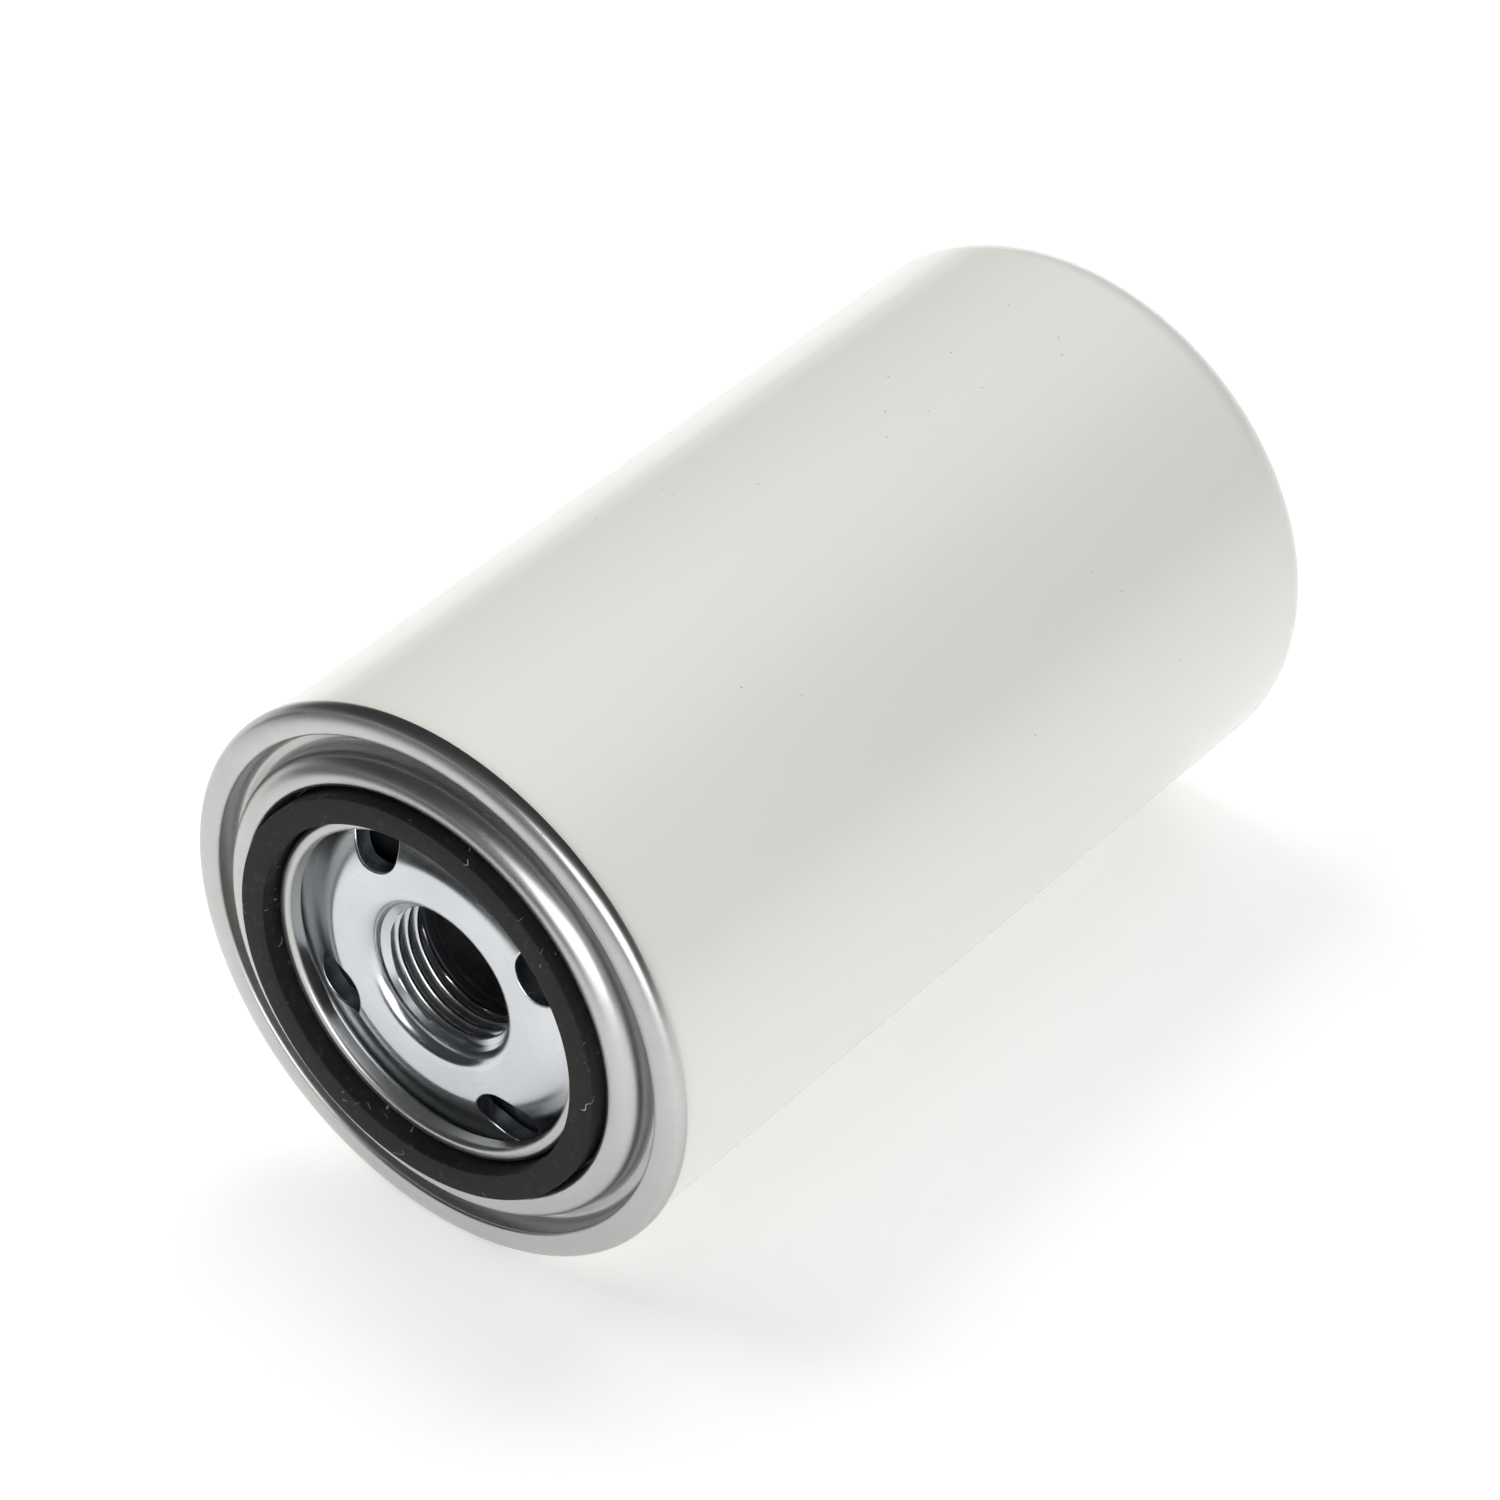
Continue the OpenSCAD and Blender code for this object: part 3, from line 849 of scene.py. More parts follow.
for depth in (along - start, end - along):
    thread_radius = thread_radius.math("MAXIMUM", threading["Cone Radius"] - depth * threading["Cone Slope"])
threading.end(threading.bend(grid, thread_radius, share * math.tau, along))

# %% [markdown]
# The plate's outline stops where the thread's lead-in cones begin, so the turned shell and the
# threaded wall are two open surfaces with the same rims. They are joined there into one solid.

# %% Plate shell and thread
mouth_middle = (bore_r + 1.35 + mouth_r, plate_face_y + mouth_r)
mouth = arc(mouth_middle, mouth_r, -90, -175, 16)
inner_flat_r, outer_flat_r = 17.5, 30.5
slope = [(flat_r + (foot_r - flat_r) * i / 20) for i in range(21)]
plate_outline = (
    [(cone_r, cone_start_y)]
    + [p for p in reversed(mouth) if p[0] > cone_r + 0.02]
    + [(r, plate_front(r)) for r in [inner_flat_r, *slope, outer_flat_r]]
    + arc((plate_r - 0.5, annulus_y + 0.5), 0.5, -90, 0, 5)
    + arc((plate_r - 0.3, annulus_y + plate_t - 0.3), 0.3, 0, 90, 4)
    + [(r, plate_front(r) + plate_t) for r in [outer_flat_r, *reversed(slope[::2]), inner_flat_r]]
    + arc((collar_r + 1.2, plate_face_y + plate_t + 1.2), 1.2, -90, -180, 8)
    + arc((collar_r - 0.4, collar_end_y - 0.4), 0.4, 0, 90, 4)
    + [(cone_r, collar_end_y)]
)
plate = turned("threaded_plate", plate_outline, plate_finish, plate_steps, closed=False)
thread = make_piece("plate_thread", threading, {
    "Steps": plate_steps, "Cone Slope": (cone_r - bore_r) / cone_length, "Phase": 0.086,
    "Rows Per Pitch": 20.0, "Material": plate_finish,
    **metres(Pitch=thread_pitch, Crest_Radius=bore_r, Root_Radius=root_r, Cone_Radius=cone_r,
             Start=cone_start_y, End=collar_end_y)}, closed=False)


def join(name, *pieces, sharp=35):
    """Joins pieces that meet edge to edge into one closed mesh."""
    work = bmesh.new()
    for piece in pieces:
        work.from_mesh(piece.data)
    whole = pieces[0]
    whole.name = whole.data.name = name
    merge_doubles(work)
    bmesh.ops.recalc_face_normals(work, faces=work.faces)
    work.to_mesh(whole.data)
    work.free()
    for piece in pieces[1:]:
        bpy.data.objects.remove(piece)
    whole.data.set_sharp_from_angle(angle=math.radians(sharp))
    return whole


# %% [markdown]
# Each oil hole is pierced through the sloping shoulder. The cutter is a spool: its flare bends
# with the plate's face, so the hole's edge is rounded by the same amount all the way round.

# %% Hole rule
drilling = Rule("drilling", ["Steps", "Count"], [
    "Circle Radius", "First Angle", "Flat Radius", "Foot Radius", "Face", "Foot"])
grid, share, row = drilling.grid(drilling["Steps"] + 1, drilling.outline_points())
turn = share * math.tau
spool_r, spool_y = drilling.outline_at(row)
x = drilling["Circle Radius"] + spool_r * turn.math("COSINE")
z = spool_r * turn.math("SINE")
face_y = drilling.add("ShaderNodeMapRange", {"interpolation_type": "SMOOTHSTEP"}, {
    "Value": (x * x + z * z).math("SQRT"), "From Min": drilling["Flat Radius"],
    "From Max": drilling["Foot Radius"], "To Min": drilling["Face"], "To Max": drilling["Foot"]})
spool = drilling.merge(drilling.put(grid, x, face_y + spool_y, z))
spin = drilling.add("GeometryNodeInputIndex") * math.tau / drilling["Count"] + drilling["First Angle"]
drilling.end(drilling.repeat(spool, drilling["Count"], spin=spin * -1))

# %% Oil holes
hole_r = 5.0
hole_circle_r = 24.0
edge_r = 0.32
past = 1.5
spool_outline = ([(0, -past - 0.1), (hole_r + edge_r + 0.03, -past - 0.1)]
                 + arc((hole_r + edge_r, edge_r), edge_r, -86, -180, 6)
                 + [(hole_r, plate_t + past - 0.1), (0, plate_t + past - 0.1)])
spools = make_piece("hole_spools", drilling, {
    "Steps": 64, "Count": 4, "First Angle": math.radians(30), "Material": plate_finish,
    **metres(Circle_Radius=hole_circle_r, Flat_Radius=flat_r, Foot_Radius=foot_r, Face=plate_face_y,
             Foot=annulus_y)}, spool_outline)
plate = cut_out(join("tapping_plate_pressing", plate, thread), spools, sharp=28)
stand_for(plate, "housing", "bright_zinc", "tapping_plate")

# %% [markdown]
# ## Inside finishes
# The inner pieces are plain tinplate, spring wire, resin-treated paper and two adhesives. They
# are seen only when the filter is taken apart, and they get the same care: tinplate has a
# rolling grain and a spangle of small crystals, paper has fibres and pressed ribs.

# %% Tinplate and spring wire


def tinplate():
    tin = Finish("tinplate", (0.52, 0.53, 0.53), 0.35, Metallic=1.0)
    spangle = tin.add("ShaderNodeTexVoronoi", inputs={"Vector": tin.place, "Scale": 420.0}, output=1)
    tone = tin.add("ShaderNodeSeparateColor", inputs={0: spangle})
    rolled = tin.noise(1.0, 3.0, 0.6, tin.turned_place(12, 1800, 1800))
    stain = tin.ramp(tin.noise(90, 4.0, 0.65), (0.45, 0), (0.8, 1))
    clean = tin.tint(tone, (0.47, 0.48, 0.48), (0.58, 0.585, 0.58))
    tin.feed("Base Color", tin.tint(stain * 0.5, clean, (0.34, 0.33, 0.30)))
    tin.feed("Roughness", (0.26 + 0.14 * rolled + 0.12 * stain).clamp(0.1, 0.7))
    tin.bump(rolled, 0.01, 0.4)
    return tin.material


def spring_wire():
    wire = Finish("spring_wire", (0.22, 0.21, 0.20), 0.38, Metallic=1.0)
    scale = wire.ramp(wire.noise(300, 4.0, 0.7), (0.4, 0), (0.75, 1))
    wire.feed("Base Color", wire.tint(scale, (0.25, 0.245, 0.235), (0.11, 0.10, 0.095)))
    wire.feed("Roughness", 0.3 + 0.25 * scale)
    wire.bump(wire.noise(2600, 3.0), 0.01, 0.4)
    return wire.material


tin, wire = ready(tinplate()), ready(spring_wire())

# %% [markdown]
# Filter paper is cellulose set with resin, so it is tan and dull, with fibres that show close up.
# Fine ribs are pressed into it to hold the pleats apart. They are a bump that follows the axis.

# %% Filter paper


def filter_paper():
    paper = Finish("pleated_filter_paper", (0.70, 0.52, 0.26), 0.85, Specular_IOR_Level=0.25)
    fibres = paper.noise(2600, 5.0, 0.75, distortion=0.6)
    blotch = paper.noise(120, 3.0)
    ribs = (paper.y * (math.tau / (2.1 * MM))).math("SINE") * 0.5 + 0.5
    tone = paper.tint(blotch, (0.66, 0.48, 0.23), (0.78, 0.61, 0.34))
    paper.feed("Base Color", paper.tint(fibres * 0.45, tone, (0.50, 0.34, 0.15)))
    paper.feed("Roughness", 0.78 + 0.15 * fibres)
    paper.bump(ribs * 0.7 + fibres * 0.3, 0.12, 0.7)
    return paper.material


paper_finish = ready(filter_paper())

# %% [markdown]
# The caps are filled with a red plastisol that cures in an oven, which leaves swirls and burst
# bubbles. The threads round the pleats are hot-melt glue, drawn out as they are laid. The
# seam's lining compound is a dull, lumpy sealant that is flowed on before the lid is rolled.

# %% Adhesives and compound


def cured_adhesive():
    glue = Finish("plastisol_adhesive", (0.42, 0.07, 0.05), 0.4, Coat_Weight=0.3, Coat_Roughness=0.2)
    swirl = glue.noise(160, 3.0, distortion=1.2)
    bubbles = glue.speckle(700, 0.16) * (glue.noise(60) > 0.52)
    tone = glue.tint(swirl, (0.34, 0.05, 0.035), (0.50, 0.10, 0.07))
    glue.feed("Base Color", glue.tint(bubbles * 0.6, tone, (0.62, 0.22, 0.17)))
    glue.feed("Roughness", 0.3 + 0.2 * swirl)
    glue.bump(swirl * 0.6 - bubbles * 0.4, 0.12, 0.6)
    return glue.material


def glue_thread():
    glue = Finish("hot_melt_thread", (0.78, 0.74, 0.62), 0.35, Coat_Weight=0.2)
    strings = glue.noise(1.0, 3.0, 0.5, glue.turned_place(30, 1200, 1200))
    glue.feed("Base Color", glue.tint(strings, (0.70, 0.64, 0.50), (0.84, 0.80, 0.70)))
    glue.feed("Roughness", 0.28 + 0.2 * strings)
    glue.bump(strings, 0.05, 0.5)
    return glue.material


def seam_compound():
    compound = Finish("lining_compound", (0.10, 0.13, 0.12), 0.6)
    lumps = compound.noise(500, 4.0, 0.6)
    compound.feed("Base Color", compound.tint(lumps, (0.07, 0.095, 0.09), (0.14, 0.17, 0.155)))
    compound.feed("Roughness", 0.5 + 0.25 * lumps)
    compound.bump(lumps, 0.06, 0.5)
    return compound.material


adhesive_finish, thread_glue, lining_finish = (
    ready(finish()) for finish in (cured_adhesive, glue_thread, seam_compound))

# %% [markdown]
# ## Rubber valve and grommet
# The anti-drainback valve lies behind the oil holes, where its rubber shows through them. Its
# hub grips the collar, and its outer bead closes on the back of the plate. Moulded rubber has
# no sharp corner, so every corner of the outline is rounded.

# %% Valve and grommet
valve_y = annulus_y + plate_t + 0.05
hub_r, hub_y = collar_r + 0.15, 1.3
bead_in_r, bead_out_r = 31.2, 33.8
valve_outline = rounded([
    (hub_r, hub_y, 0.3), (hub_r + 1.6, hub_y, 0.4), (hub_r + 2.6, valve_y + 0.4, 0.8),
    (bead_in_r - 0.6, valve_y + 0.4, 0.5), (bead_in_r, valve_y, 0.3), (bead_out_r - 0.8, valve_y, 0.3),
    (bead_out_r, valve_y + 0.5, 0.3), (bead_out_r, valve_y + 1.3, 0.4), (hub_r + 3, valve_y + 1.7, 0.8),
    (hub_r + 2.4, valve_y + 2.9, 0.4), (hub_r, valve_y + 2.9, 0.3),
])
valve = turned("anti_drainback_rubber", valve_outline, moulded_rubber, 160, 0.05, 2.2)
stand_for(valve, "drainback_valve", "valve_rubber", "anti_drainback_valve")

grommet_y, grommet_end_y = ends("element_grommet")
grommet_in_r, grommet_out_r = 12.6, 16.1
grommet_outline = rounded([
    (grommet_in_r, grommet_y + 0.5, 0.3), (grommet_in_r + 0.8, grommet_y, 0.35),
    (grommet_out_r - 0.7, grommet_y, 0.35), (grommet_out_r, grommet_y + 0.5, 0.3),
    (grommet_out_r, grommet_end_y, 0.3), (grommet_in_r, grommet_end_y, 0.3),
])
grommet = turned("element_grommet_ring", grommet_outline, moulded_rubber, 128, 0.03, 5.0)
stand_for(grommet, "element", "valve_rubber", "element_grommet")

# %% [markdown]
# ## Pressed steel inside
# End caps, seats and the spring's washer are pressed from tinplate, so each is a bent path with
# one sheet thickness. The corners of the path are the press tool's bend radii.

# %% Caps, seats and washers
cap_r = high("lower_end_cap", "x")
cap_t, seat_t, washer_t = 0.5, 0.6, 0.8
lower_cap_y, lower_cap_edge_y = ends("lower_end_cap")
upper_cap_edge_y, upper_cap_y = ends("upper_end_cap")
seat_floor_y, seat_top_y = ends("bypass_seat")
washer_y, washer_top_y = ends("spring_seat")
grommet_floor_y = grommet_end_y + 0.05
cup_r = grommet_out_r + 0.05
step_in_r, step_out_r = 24, 26
upper_port_r = 14.2
seat_port_r, seat_wall_r, seat_flange_r = 6.2, 14, 15.9
washer_in_r, washer_out_r = 18, 28


def pressing(name, corners, thickness, node):
    """A turned sheet-metal piece of the element, from the corners of one of its faces."""
    piece = turned(name, sheet(rounded(corners, 4, closed=False), thickness), tin, 160, sharp=50)
    return stand_for(piece, "element", "tinned_steel", node)


pressing("lower_cap_pressing", [
    (grommet_in_r, grommet_floor_y, 0), (cup_r, grommet_floor_y, 0.35), (cup_r, lower_cap_y, 0.6),
    (step_in_r, lower_cap_y, 3), (step_out_r, lower_cap_y + 0.02, 3), (cap_r, lower_cap_y, 1.0),
    (cap_r, lower_cap_edge_y, 0)], cap_t, "lower_end_cap")
pressing("upper_cap_pressing", [
    (cap_r, upper_cap_edge_y, 0), (cap_r, upper_cap_y, 1.0), (upper_port_r, upper_cap_y, 0)],
    cap_t, "upper_end_cap")
pressing("bypass_seat_pressing", [
    (seat_port_r, seat_floor_y, 0), (seat_wall_r, seat_floor_y, 0.5),
    (seat_wall_r, seat_top_y - seat_t, 0.5), (seat_flange_r, seat_top_y - seat_t, 0)],
    seat_t, "bypass_seat")
pressing("spring_washer_pressing", [
    (washer_in_r, washer_top_y, 0), (washer_in_r, washer_y, 0.9), (washer_out_r, washer_y, 0.9),
    (washer_out_r, washer_top_y, 0)], washer_t, "spring_seat")

# %% [markdown]
# The bypass valve opens when the paper is blocked. A steel disc with a rubber washer closes the
# seat's port, and a riveted pin keeps the disc straight. All three are turned outlines.

# %% Bypass poppet, seal and pin
poppet_y, poppet_top_y = ends("bypass_poppet")
seal_y, seal_top_y = ends("bypass_seal")
stem_y, stem_top_y = ends("bypass_stem")
pin_r, poppet_r = 1.5, 8.8
seal_in_r, seal_out_r = 5.2, 8.2
rivet_r, rivet_top_r = 3, 2.7
poppet_outline = rounded([(pin_r, poppet_y, 0.1), (poppet_r, poppet_y, 0.25),
                          (poppet_r, poppet_top_y, 0.25), (pin_r, poppet_top_y, 0.1)])
poppet = turned("bypass_poppet_disc", poppet_outline, tin, 96)
stand_for(poppet, "bypass_valve", "tinned_steel", "bypass_poppet")
seal_outline = rounded([(seal_in_r, seal_y, 0.2), (seal_out_r, seal_y, 0.2),
                        (seal_out_r, seal_top_y, 0.3), (seal_in_r, seal_top_y, 0.3)])
seal = turned("bypass_seal_washer", seal_outline, moulded_rubber, 96, 0.03, 8.0)
stand_for(seal, "bypass_valve", "valve_rubber", "bypass_seal")
stem_outline = rounded([(0, stem_y, 0), (pin_r, stem_y, 0.35), (pin_r, poppet_top_y, 0.1),
                        (rivet_r, poppet_top_y, 0.15), (rivet_top_r, stem_top_y, 0.45),
                        (0, stem_top_y, 0)])
stem = turned("bypass_guide_pin", stem_outline, wire, 64, sharp=50)
stand_for(stem, "bypass_valve", "spring_steel", "bypass_stem")

# %% [markdown]
# ## Springs
# Both springs are round wire on a helix whose end coils lie flat. One tree draws the wire's
# middle line as a curve and sweeps a circle along it. A spring is shorter when its joint
# moves; the springs here keep their full length.

# %% Coiling rule
coiling = Rule("coiling", ["Rings", "Sides"], [
    "Coil Radius", "Wire Radius", "Start", "Length", "Rising Coils", "Flat Turns"])
ease = -0.035
share = coiling.add("GeometryNodeInputIndex") / (coiling["Rings"] - 1)
turns = share * (coiling["Rising Coils"] + coiling["Flat Turns"] * 2)
climb = ((turns - coiling["Flat Turns"]) / coiling["Rising Coils"]).clamp()
eased = climb + (climb * math.tau).math("SINE") * ease
height = (coiling["Start"] + coiling["Wire Radius"]
          + eased * (coiling["Length"] - coiling["Wire Radius"] * 2))
wire_line = coiling.add("GeometryNodeMeshLine", inputs={"Count": coiling["Rings"], "Offset": (0, 0, 1)})
wire_line = coiling.bend(wire_line, coiling["Coil Radius"], turns * -math.tau, height)
wire_path = coiling.add("GeometryNodeMeshToCurve", inputs={"Mesh": wire_line})
wire_section = coiling.add("GeometryNodeCurvePrimitiveCircle", inputs={
    "Resolution": coiling["Sides"], "Radius": coiling["Wire Radius"]})
coiling.end(coiling.add("GeometryNodeCurveToMesh", inputs={
    "Curve": wire_path, "Profile Curve": wire_section, "Fill Caps": True}))

# %% Springs
flat_turns = 0.4
rings_per_turn = 40


def spring(name, node, coil_radius, wire_radius, coils, sides, margin):
    """A spring that fills the room of a CAD spring, a margin short of each end."""
    start, end = low(node, "y") + margin, high(node, "y") - margin
    return make_piece(name, coiling, {
        "Rings": int((coils + 2 * flat_turns) * rings_per_turn) + 1, "Sides": sides,
        "Rising Coils": coils, "Flat Turns": flat_turns, "Material": wire,
        **metres(Coil_Radius=coil_radius, Wire_Radius=wire_radius, Start=start, Length=end - start)},
        sharp=50)


def shorten(piece, anchor_y):
    """Gives a spring a mesh of its own; the spring keeps its full length."""
    edges = [corner[1] for corner in piece.bound_box]
    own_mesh(piece)


support = spring("support_coil_spring", "support_spring", coil_radius=24.0, wire_radius=1.38,
                 coils=3.5, sides=16, margin=0.02)
stand_for(support, "housing", "spring_steel", "support_spring")
shorten(support, high("support_spring", "y"))
bypass = spring("bypass_coil_spring", "bypass_spring", coil_radius=5.6, wire_radius=0.54,
                coils=4.5, sides=12, margin=0.01)
stand_for(bypass, "element", "spring_steel", "bypass_spring")
shorten(bypass, low("bypass_spring", "y"))

# %% [markdown]
# ## Punched tube and slotted cage
# The centre tube is punched with staggered rings of holes, and the bypass cage has three slots.
# One tree makes both sets of punches: it fills an outline, gives it depth along the radius,
# and repeats it round the axis and along it.

# %% Punching rule
punching = Rule("punching", ["Per Ring", "Rings"], ["First", "Pitch", "Stagger", "Inner", "Depth"])
edge = punching.add("GeometryNodeMeshToCurve", inputs={"Mesh": punching.merge(punching["Geometry"])})
face = punching.add("GeometryNodeFillCurve", inputs={"Curve": edge})
face = punching.add("GeometryNodeSetPosition", inputs={
    "Geometry": face, "Offset": punching.xyz(z=punching["Inner"])})
body = punching.add("GeometryNodeExtrudeMesh", inputs={
    "Mesh": face, "Offset": (0, 0, 1), "Offset Scale": punching["Depth"], "Individual": False})
joined = punching.tree.nodes.new("GeometryNodeJoinGeometry")
for part in (body, punching.add("GeometryNodeFlipFaces", inputs={"Mesh": face})):
    punching.tree.links.new(part.socket, joined.inputs[0])
punch = punching.merge(Wire(punching, joined.outputs[0]))
x, y, z = punching.parts(punching.here())
punch = punching.put(punch, z, x, y)
number = punching.add("GeometryNodeInputIndex")
ring = (number / punching["Per Ring"]).math("FLOOR")
in_ring = number - ring * punching["Per Ring"]
odd = (ring + 1).math("MODULO", 2.0)
spin = (in_ring + odd * punching["Stagger"]) * math.tau / punching["Per Ring"]
punching.end(punching.repeat(punch, punching["Per Ring"] * punching["Rings"],
                             punching["First"] + ring * punching["Pitch"], spin))


def punch_through(piece, outline, per_ring, rings, first, pitch, stagger, inner, depth):
    """Cuts an outline of (along, across) points through a piece, round the axis and along it."""
    punches = make_piece("punches", punching, {
        "Per Ring": per_ring, "Rings": rings, "Stagger": stagger, "Material": tin,
        **metres(First=first, Pitch=pitch, Inner=inner, Depth=depth)}, outline)
    return cut_out(piece, punches, sharp=40)


# %% Centre tube
tube_r, tube_t = 17.4, 0.6
tube_bore_r = tube_r - tube_t
tube_y, tube_end_y = ends("centre_tube")
tube_rings = 10
tube_hole_r = 2.25
hole_pitch = (tube_end_y - tube_y) / (tube_rings + 1)
tube_outline = rounded([(tube_bore_r, tube_y, 0.12), (tube_r, tube_y, 0.12),
                        (tube_r, tube_end_y, 0.12), (tube_bore_r, tube_end_y, 0.12)], 3)
tube = turned("centre_tube_perforated", tube_outline, tin, 144)
tube = punch_through(tube, arc((0, 0), tube_hole_r, 0, 360, 24), per_ring=8, rings=tube_rings,
                     first=tube_y + hole_pitch, pitch=hole_pitch, stagger=0.5, inner=14.0, depth=6.0)
stand_for(tube, "element", "tinned_steel", "centre_tube")

# %% [markdown]
# The cage is a small cup that hangs under the seat. It guides the valve's pin and holds the foot
# of its spring, and oil leaves through its slots.

# %% Bypass cage
cage_floor_y, cage_top_y = ends("bypass_cage")
cage_t, cage_r = 0.6, 10.2
cage_path = rounded([(1.6, cage_floor_y, 0), (cage_r, cage_floor_y, 1.4),
                     (cage_r, cage_top_y - cage_t, 0.7), (cage_r + 2.6, cage_top_y - cage_t, 0)],
                    5, closed=False)
cage = turned("bypass_cage_cup", sheet(cage_path, cage_t), tin, 120, sharp=50)
slot_long = (cage_top_y - cage_floor_y - 5) / 2
slot_wide = 4.5
slot = rounded([(-slot_long, -slot_wide, 1.2), (slot_long, -slot_wide, 1.2),
                (slot_long, slot_wide, 1.2), (-slot_long, slot_wide, 1.2)])
cage = punch_through(cage, slot, per_ring=3, rings=1, first=cage_floor_y + 2 + slot_long, pitch=0,
                     stagger=0.0, inner=5.0, depth=8.0)
stand_for(cage, "element", "tinned_steel", "bypass_cage")

# %% [markdown]
# ## Pleated paper
# The paper is one long ribbon folded into a star. The outline below is a single fold, from one
# outer tip to the next, with its thickness. The tree repeats it once for each fold, lets the
# folds lean a little along their length, and closes the ribbon at its edges.

# %% Pleating rule
pleating = Rule("pleating", ["Folds", "Points", "Rows"], [
    "First", "Step", "Start", "Length", "Lean", "Seed"])
points, rows = pleating["Points"], pleating["Rows"]
columns = pleating["Folds"] * points
grid, share, row = pleating.grid(columns, rows * 2 + 1)
step_number = (share * (columns - 1)).math("ROUND")
row = row.math("MODULO", rows * 2)
other_side = row > (rows - 0.5)
fold = (step_number / points + 0.001).math("FLOOR")
in_fold = step_number - fold * points
x, across = pleating.outline_at(in_fold + other_side * (points * 2 - 1 - in_fold * 2))
share = (row + other_side * (rows * 2 - 1 - row * 2)) / (rows - 1)
lean_place = pleating.xyz(fold * 0.9 + in_fold / points * 0.9, share * 2.5, pleating["Seed"])
lean = pleating.add("ShaderNodeTexNoise", inputs={"Vector": lean_place, "Scale": 1.0, "Detail": 1.0}) - 0.5
free = (share * math.pi).math("SINE")
angle = pleating["First"] + (fold + 0.5) * pleating["Step"] + lean * pleating["Lean"] * free
cosine, sine = angle.math("COSINE"), angle.math("SINE")
pleating.end(pleating.put(grid, x * cosine - across * sine, pleating["Start"] + share * pleating["Length"],
                          (x * sine + across * cosine) * -1))

# %% Paper
pleats = 54
clip_angle = math.radians(1.3)
fold_step = (math.tau - 2 * clip_angle) / (pleats - 1)
media_y, media_end_y = ends("pleated_media")
media_length = media_end_y - media_y
media_in_r, media_out_r = 18.4, cap_r - 1.7
paper_t = 0.45
tip_x, tip_across = media_out_r * math.cos(fold_step / 2), media_out_r * math.sin(fold_step / 2)
fold_outline = sheet(rounded([
    (tip_x, -tip_across, 0), (tip_x, 0.6 - tip_across, 0.5), (media_in_r, -0.2, 0.25),
    (media_in_r, 0.2, 0.25), (tip_x, tip_across - 0.6, 0.5), (tip_x, tip_across, 0)],
    5, closed=False), paper_t)
media = make_piece("pleated_paper", pleating, {
    "Folds": pleats - 1, "Points": (len(fold_outline) - 1) // 2, "Rows": 18, "First": clip_angle,
    "Step": fold_step, "Lean": 0.03, "Seed": 3.1, "Material": paper_finish,
    **metres(Start=media_y, Length=media_length)}, fold_outline, sharp=60)
stand_for(media, "element", "filter_paper", "pleated_media")

# %% [markdown]
# ## Glue threads
# Three threads of glue run round the outer tips and hold the pleats apart. They sag between the
# tips, so each is a ring whose radius dips once for each pleat. The rings stop at the clip.

# %% Threading the pleats
banding = Rule("banding", ["Steps", "Sides", "Bands", "Pleats"], [
    "Radius", "Half Width", "Half Depth", "First", "Pitch", "Gap", "Sag"])
grid, run, row = banding.grid(banding["Steps"], banding["Sides"] + 1)
side = row / banding["Sides"] * math.tau
angle = banding["Gap"] + run * (math.tau - banding["Gap"] * 2)
dip = ((angle * banding["Pleats"]).math("COSINE") - 1) * banding["Sag"]
bead_r = banding["Radius"] + dip + banding["Half Depth"] * side.math("COSINE")
bead = banding.bend(grid, bead_r, angle, banding["Half Width"] * side.math("SINE"))
band_y = banding["First"] + banding.add("GeometryNodeInputIndex") * banding["Pitch"]
banding.end(banding.repeat(bead, banding["Bands"], band_y))

bands = 3
band_pitch = media_length / (bands + 1)
threads = make_piece("glue_threads", banding, {
    "Steps": 433, "Sides": 12, "Bands": bands, "Gap": 3.1 / media_out_r, "Pleats": pleats,
    "Material": thread_glue,
    **metres(Radius=media_out_r + 0.72, Half_Width=1.2, Half_Depth=0.34, First=media_y + band_pitch,
             Pitch=band_pitch, Sag=0.1)}, sharp=60)
stand_for(threads, "element", "glue_thread", "pleat_bands")

# %% [markdown]
# ## Clip
# The paper's two ends are pinched in a folded strip of tinplate. The crimping rolls press it at
# even steps, so the strip's section is narrowed a little along a wave.

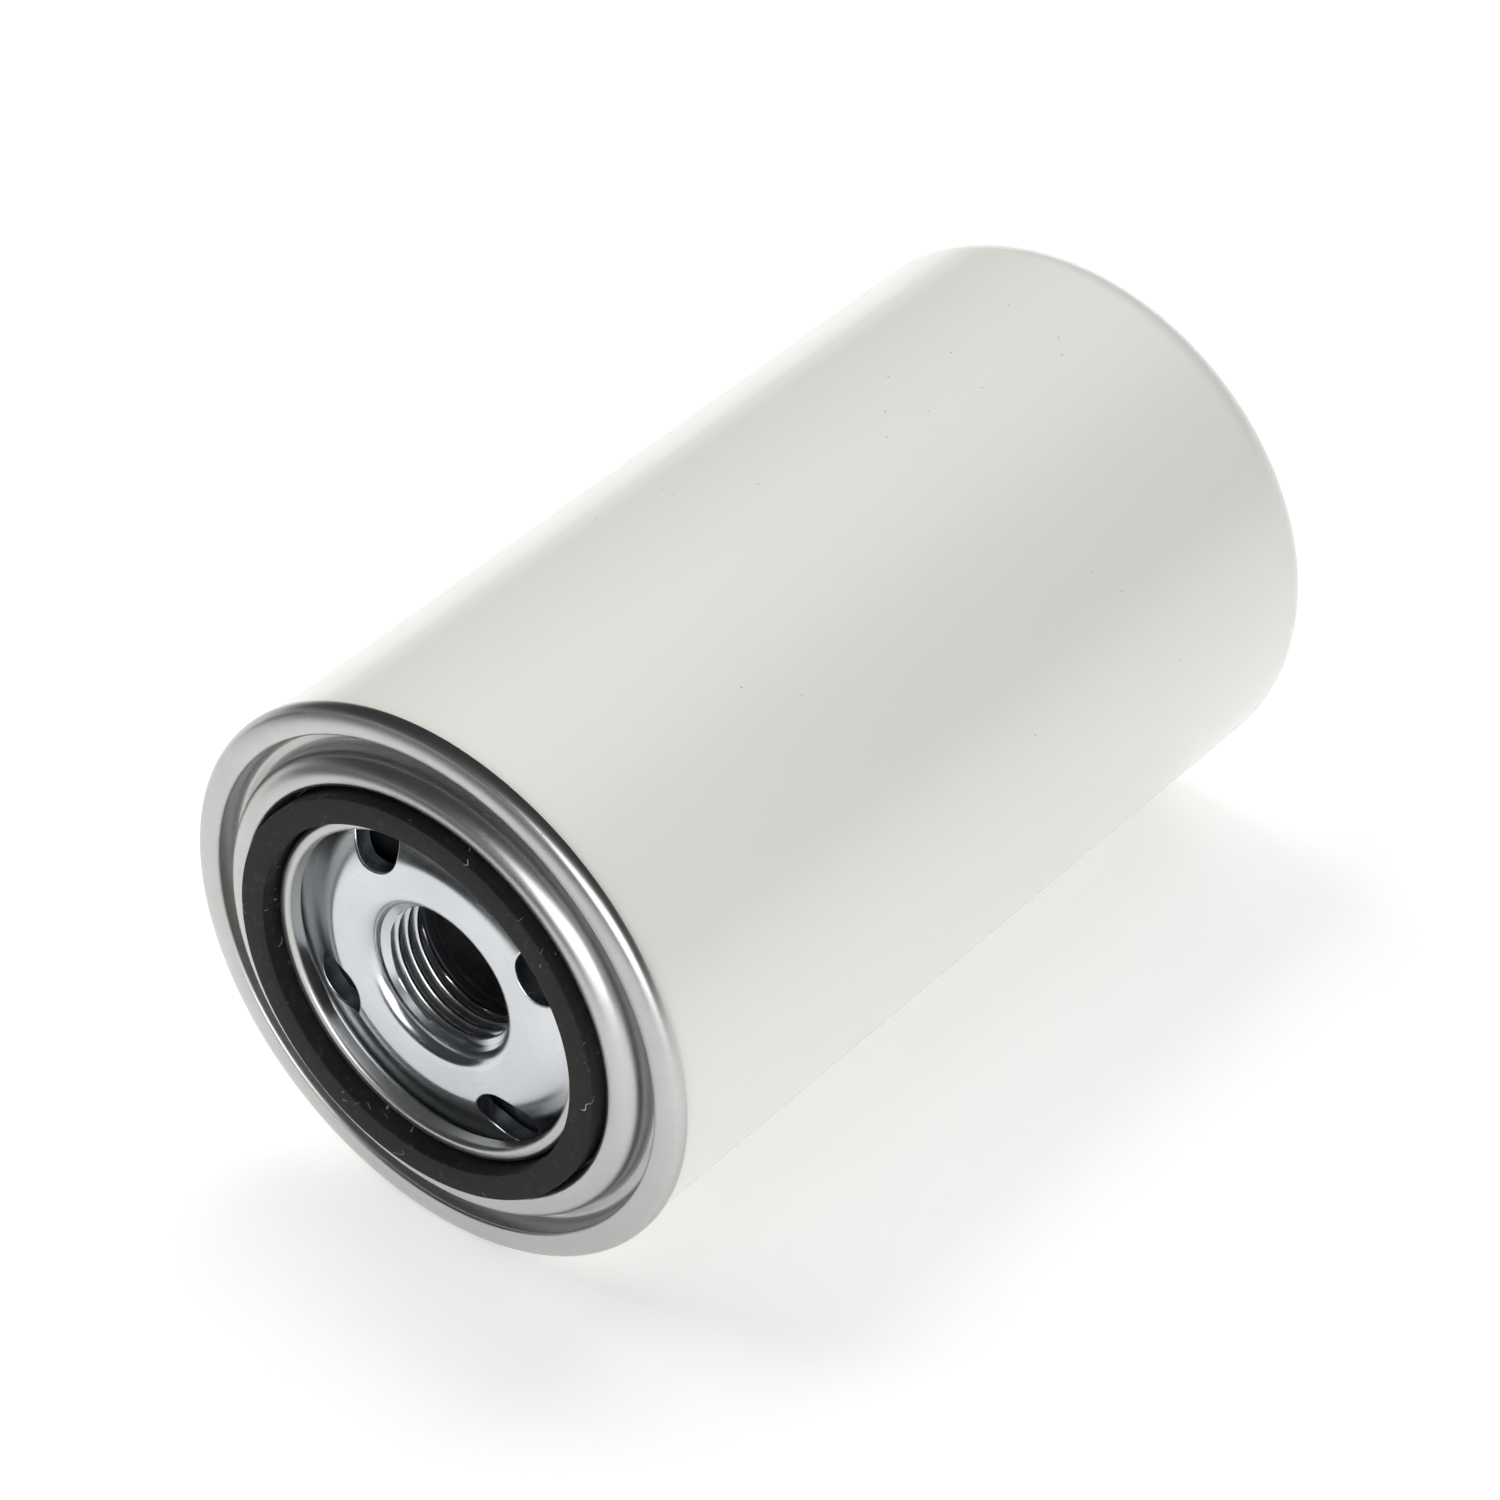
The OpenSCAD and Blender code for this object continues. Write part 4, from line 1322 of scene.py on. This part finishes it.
# %% Clip
strip = Rule("strip", ["Rows"], ["Start", "Length", "Crimps", "Crimp"])
grid, run, row = strip.grid(strip["Rows"], strip.outline_points())
section_x, section_z = strip.outline_at(row)
pinch = 1 - ((run * strip["Crimps"] * math.tau).math("COSINE") * -0.5 + 0.5) * strip["Crimp"]
strip.end(strip.put(grid, section_x, strip["Start"] + run * strip["Length"], section_z * pinch))

clip_out, clip_in, clip_half = media_out_r + 1.1, media_out_r - 2.2, 1.95
clip_t = 0.45
clip_outline = sheet(rounded([
    (clip_in, -clip_half, 0), (clip_out, -clip_half, 0.7), (clip_out, clip_half, 0.7),
    (clip_in, clip_half, 0)], 5, closed=False), clip_t)
clip = make_piece("media_clip_strip", strip, {
    "Rows": 141, "Crimps": 14.0, "Crimp": 0.06, "Material": tin,
    **metres(Start=media_y, Length=media_length)}, clip_outline, sharp=50)
stand_for(clip, "element", "tinned_steel", "media_clip")

# %% [markdown]
# ## Poured rings
# Adhesive is poured into each cap and climbs a little at its walls. The lining compound is
# squeezed between the can's hook and the lid's seam when the seam is rolled.

# %% Adhesive and lining compound
pool_in_r, pool_out_r = tube_r + 0.05, cap_r - 0.55
bevel = 0.5
for node in ("lower_adhesive", "upper_adhesive"):
    floor_y, open_y = ends(node)
    if node == "upper_adhesive":
        floor_y, open_y = open_y, floor_y
    bevel_y = floor_y + math.copysign(bevel, open_y - floor_y)
    pool = turned(f"{node}_ring", rounded([
        (pool_in_r, floor_y, 0.1), (pool_out_r - bevel, floor_y, 0.1), (pool_out_r, bevel_y, 0.1),
        (pool_out_r, open_y, 0.35), (pool_in_r, open_y, 0.35)]), adhesive_finish, 160, 0.0, 6.0)
    stand_for(pool, "element", "adhesive", node)

lining_in_r, lining_out_r = chuck_wall_r + 1.6, can_r - 1.3
lining = turned("seam_lining", rounded([
    (lining_in_r, rim_y + 0.2, 0.1), (lining_out_r, rim_y + 0.2, 0.05),
    (lining_out_r, rim_y + 0.02, 0.05), (lining_in_r, rim_y - 0.5, 0.1)]), lining_finish, 192, 0.0, 9.0)
stand_for(lining, "housing", "seam_compound", "seam_sealant")
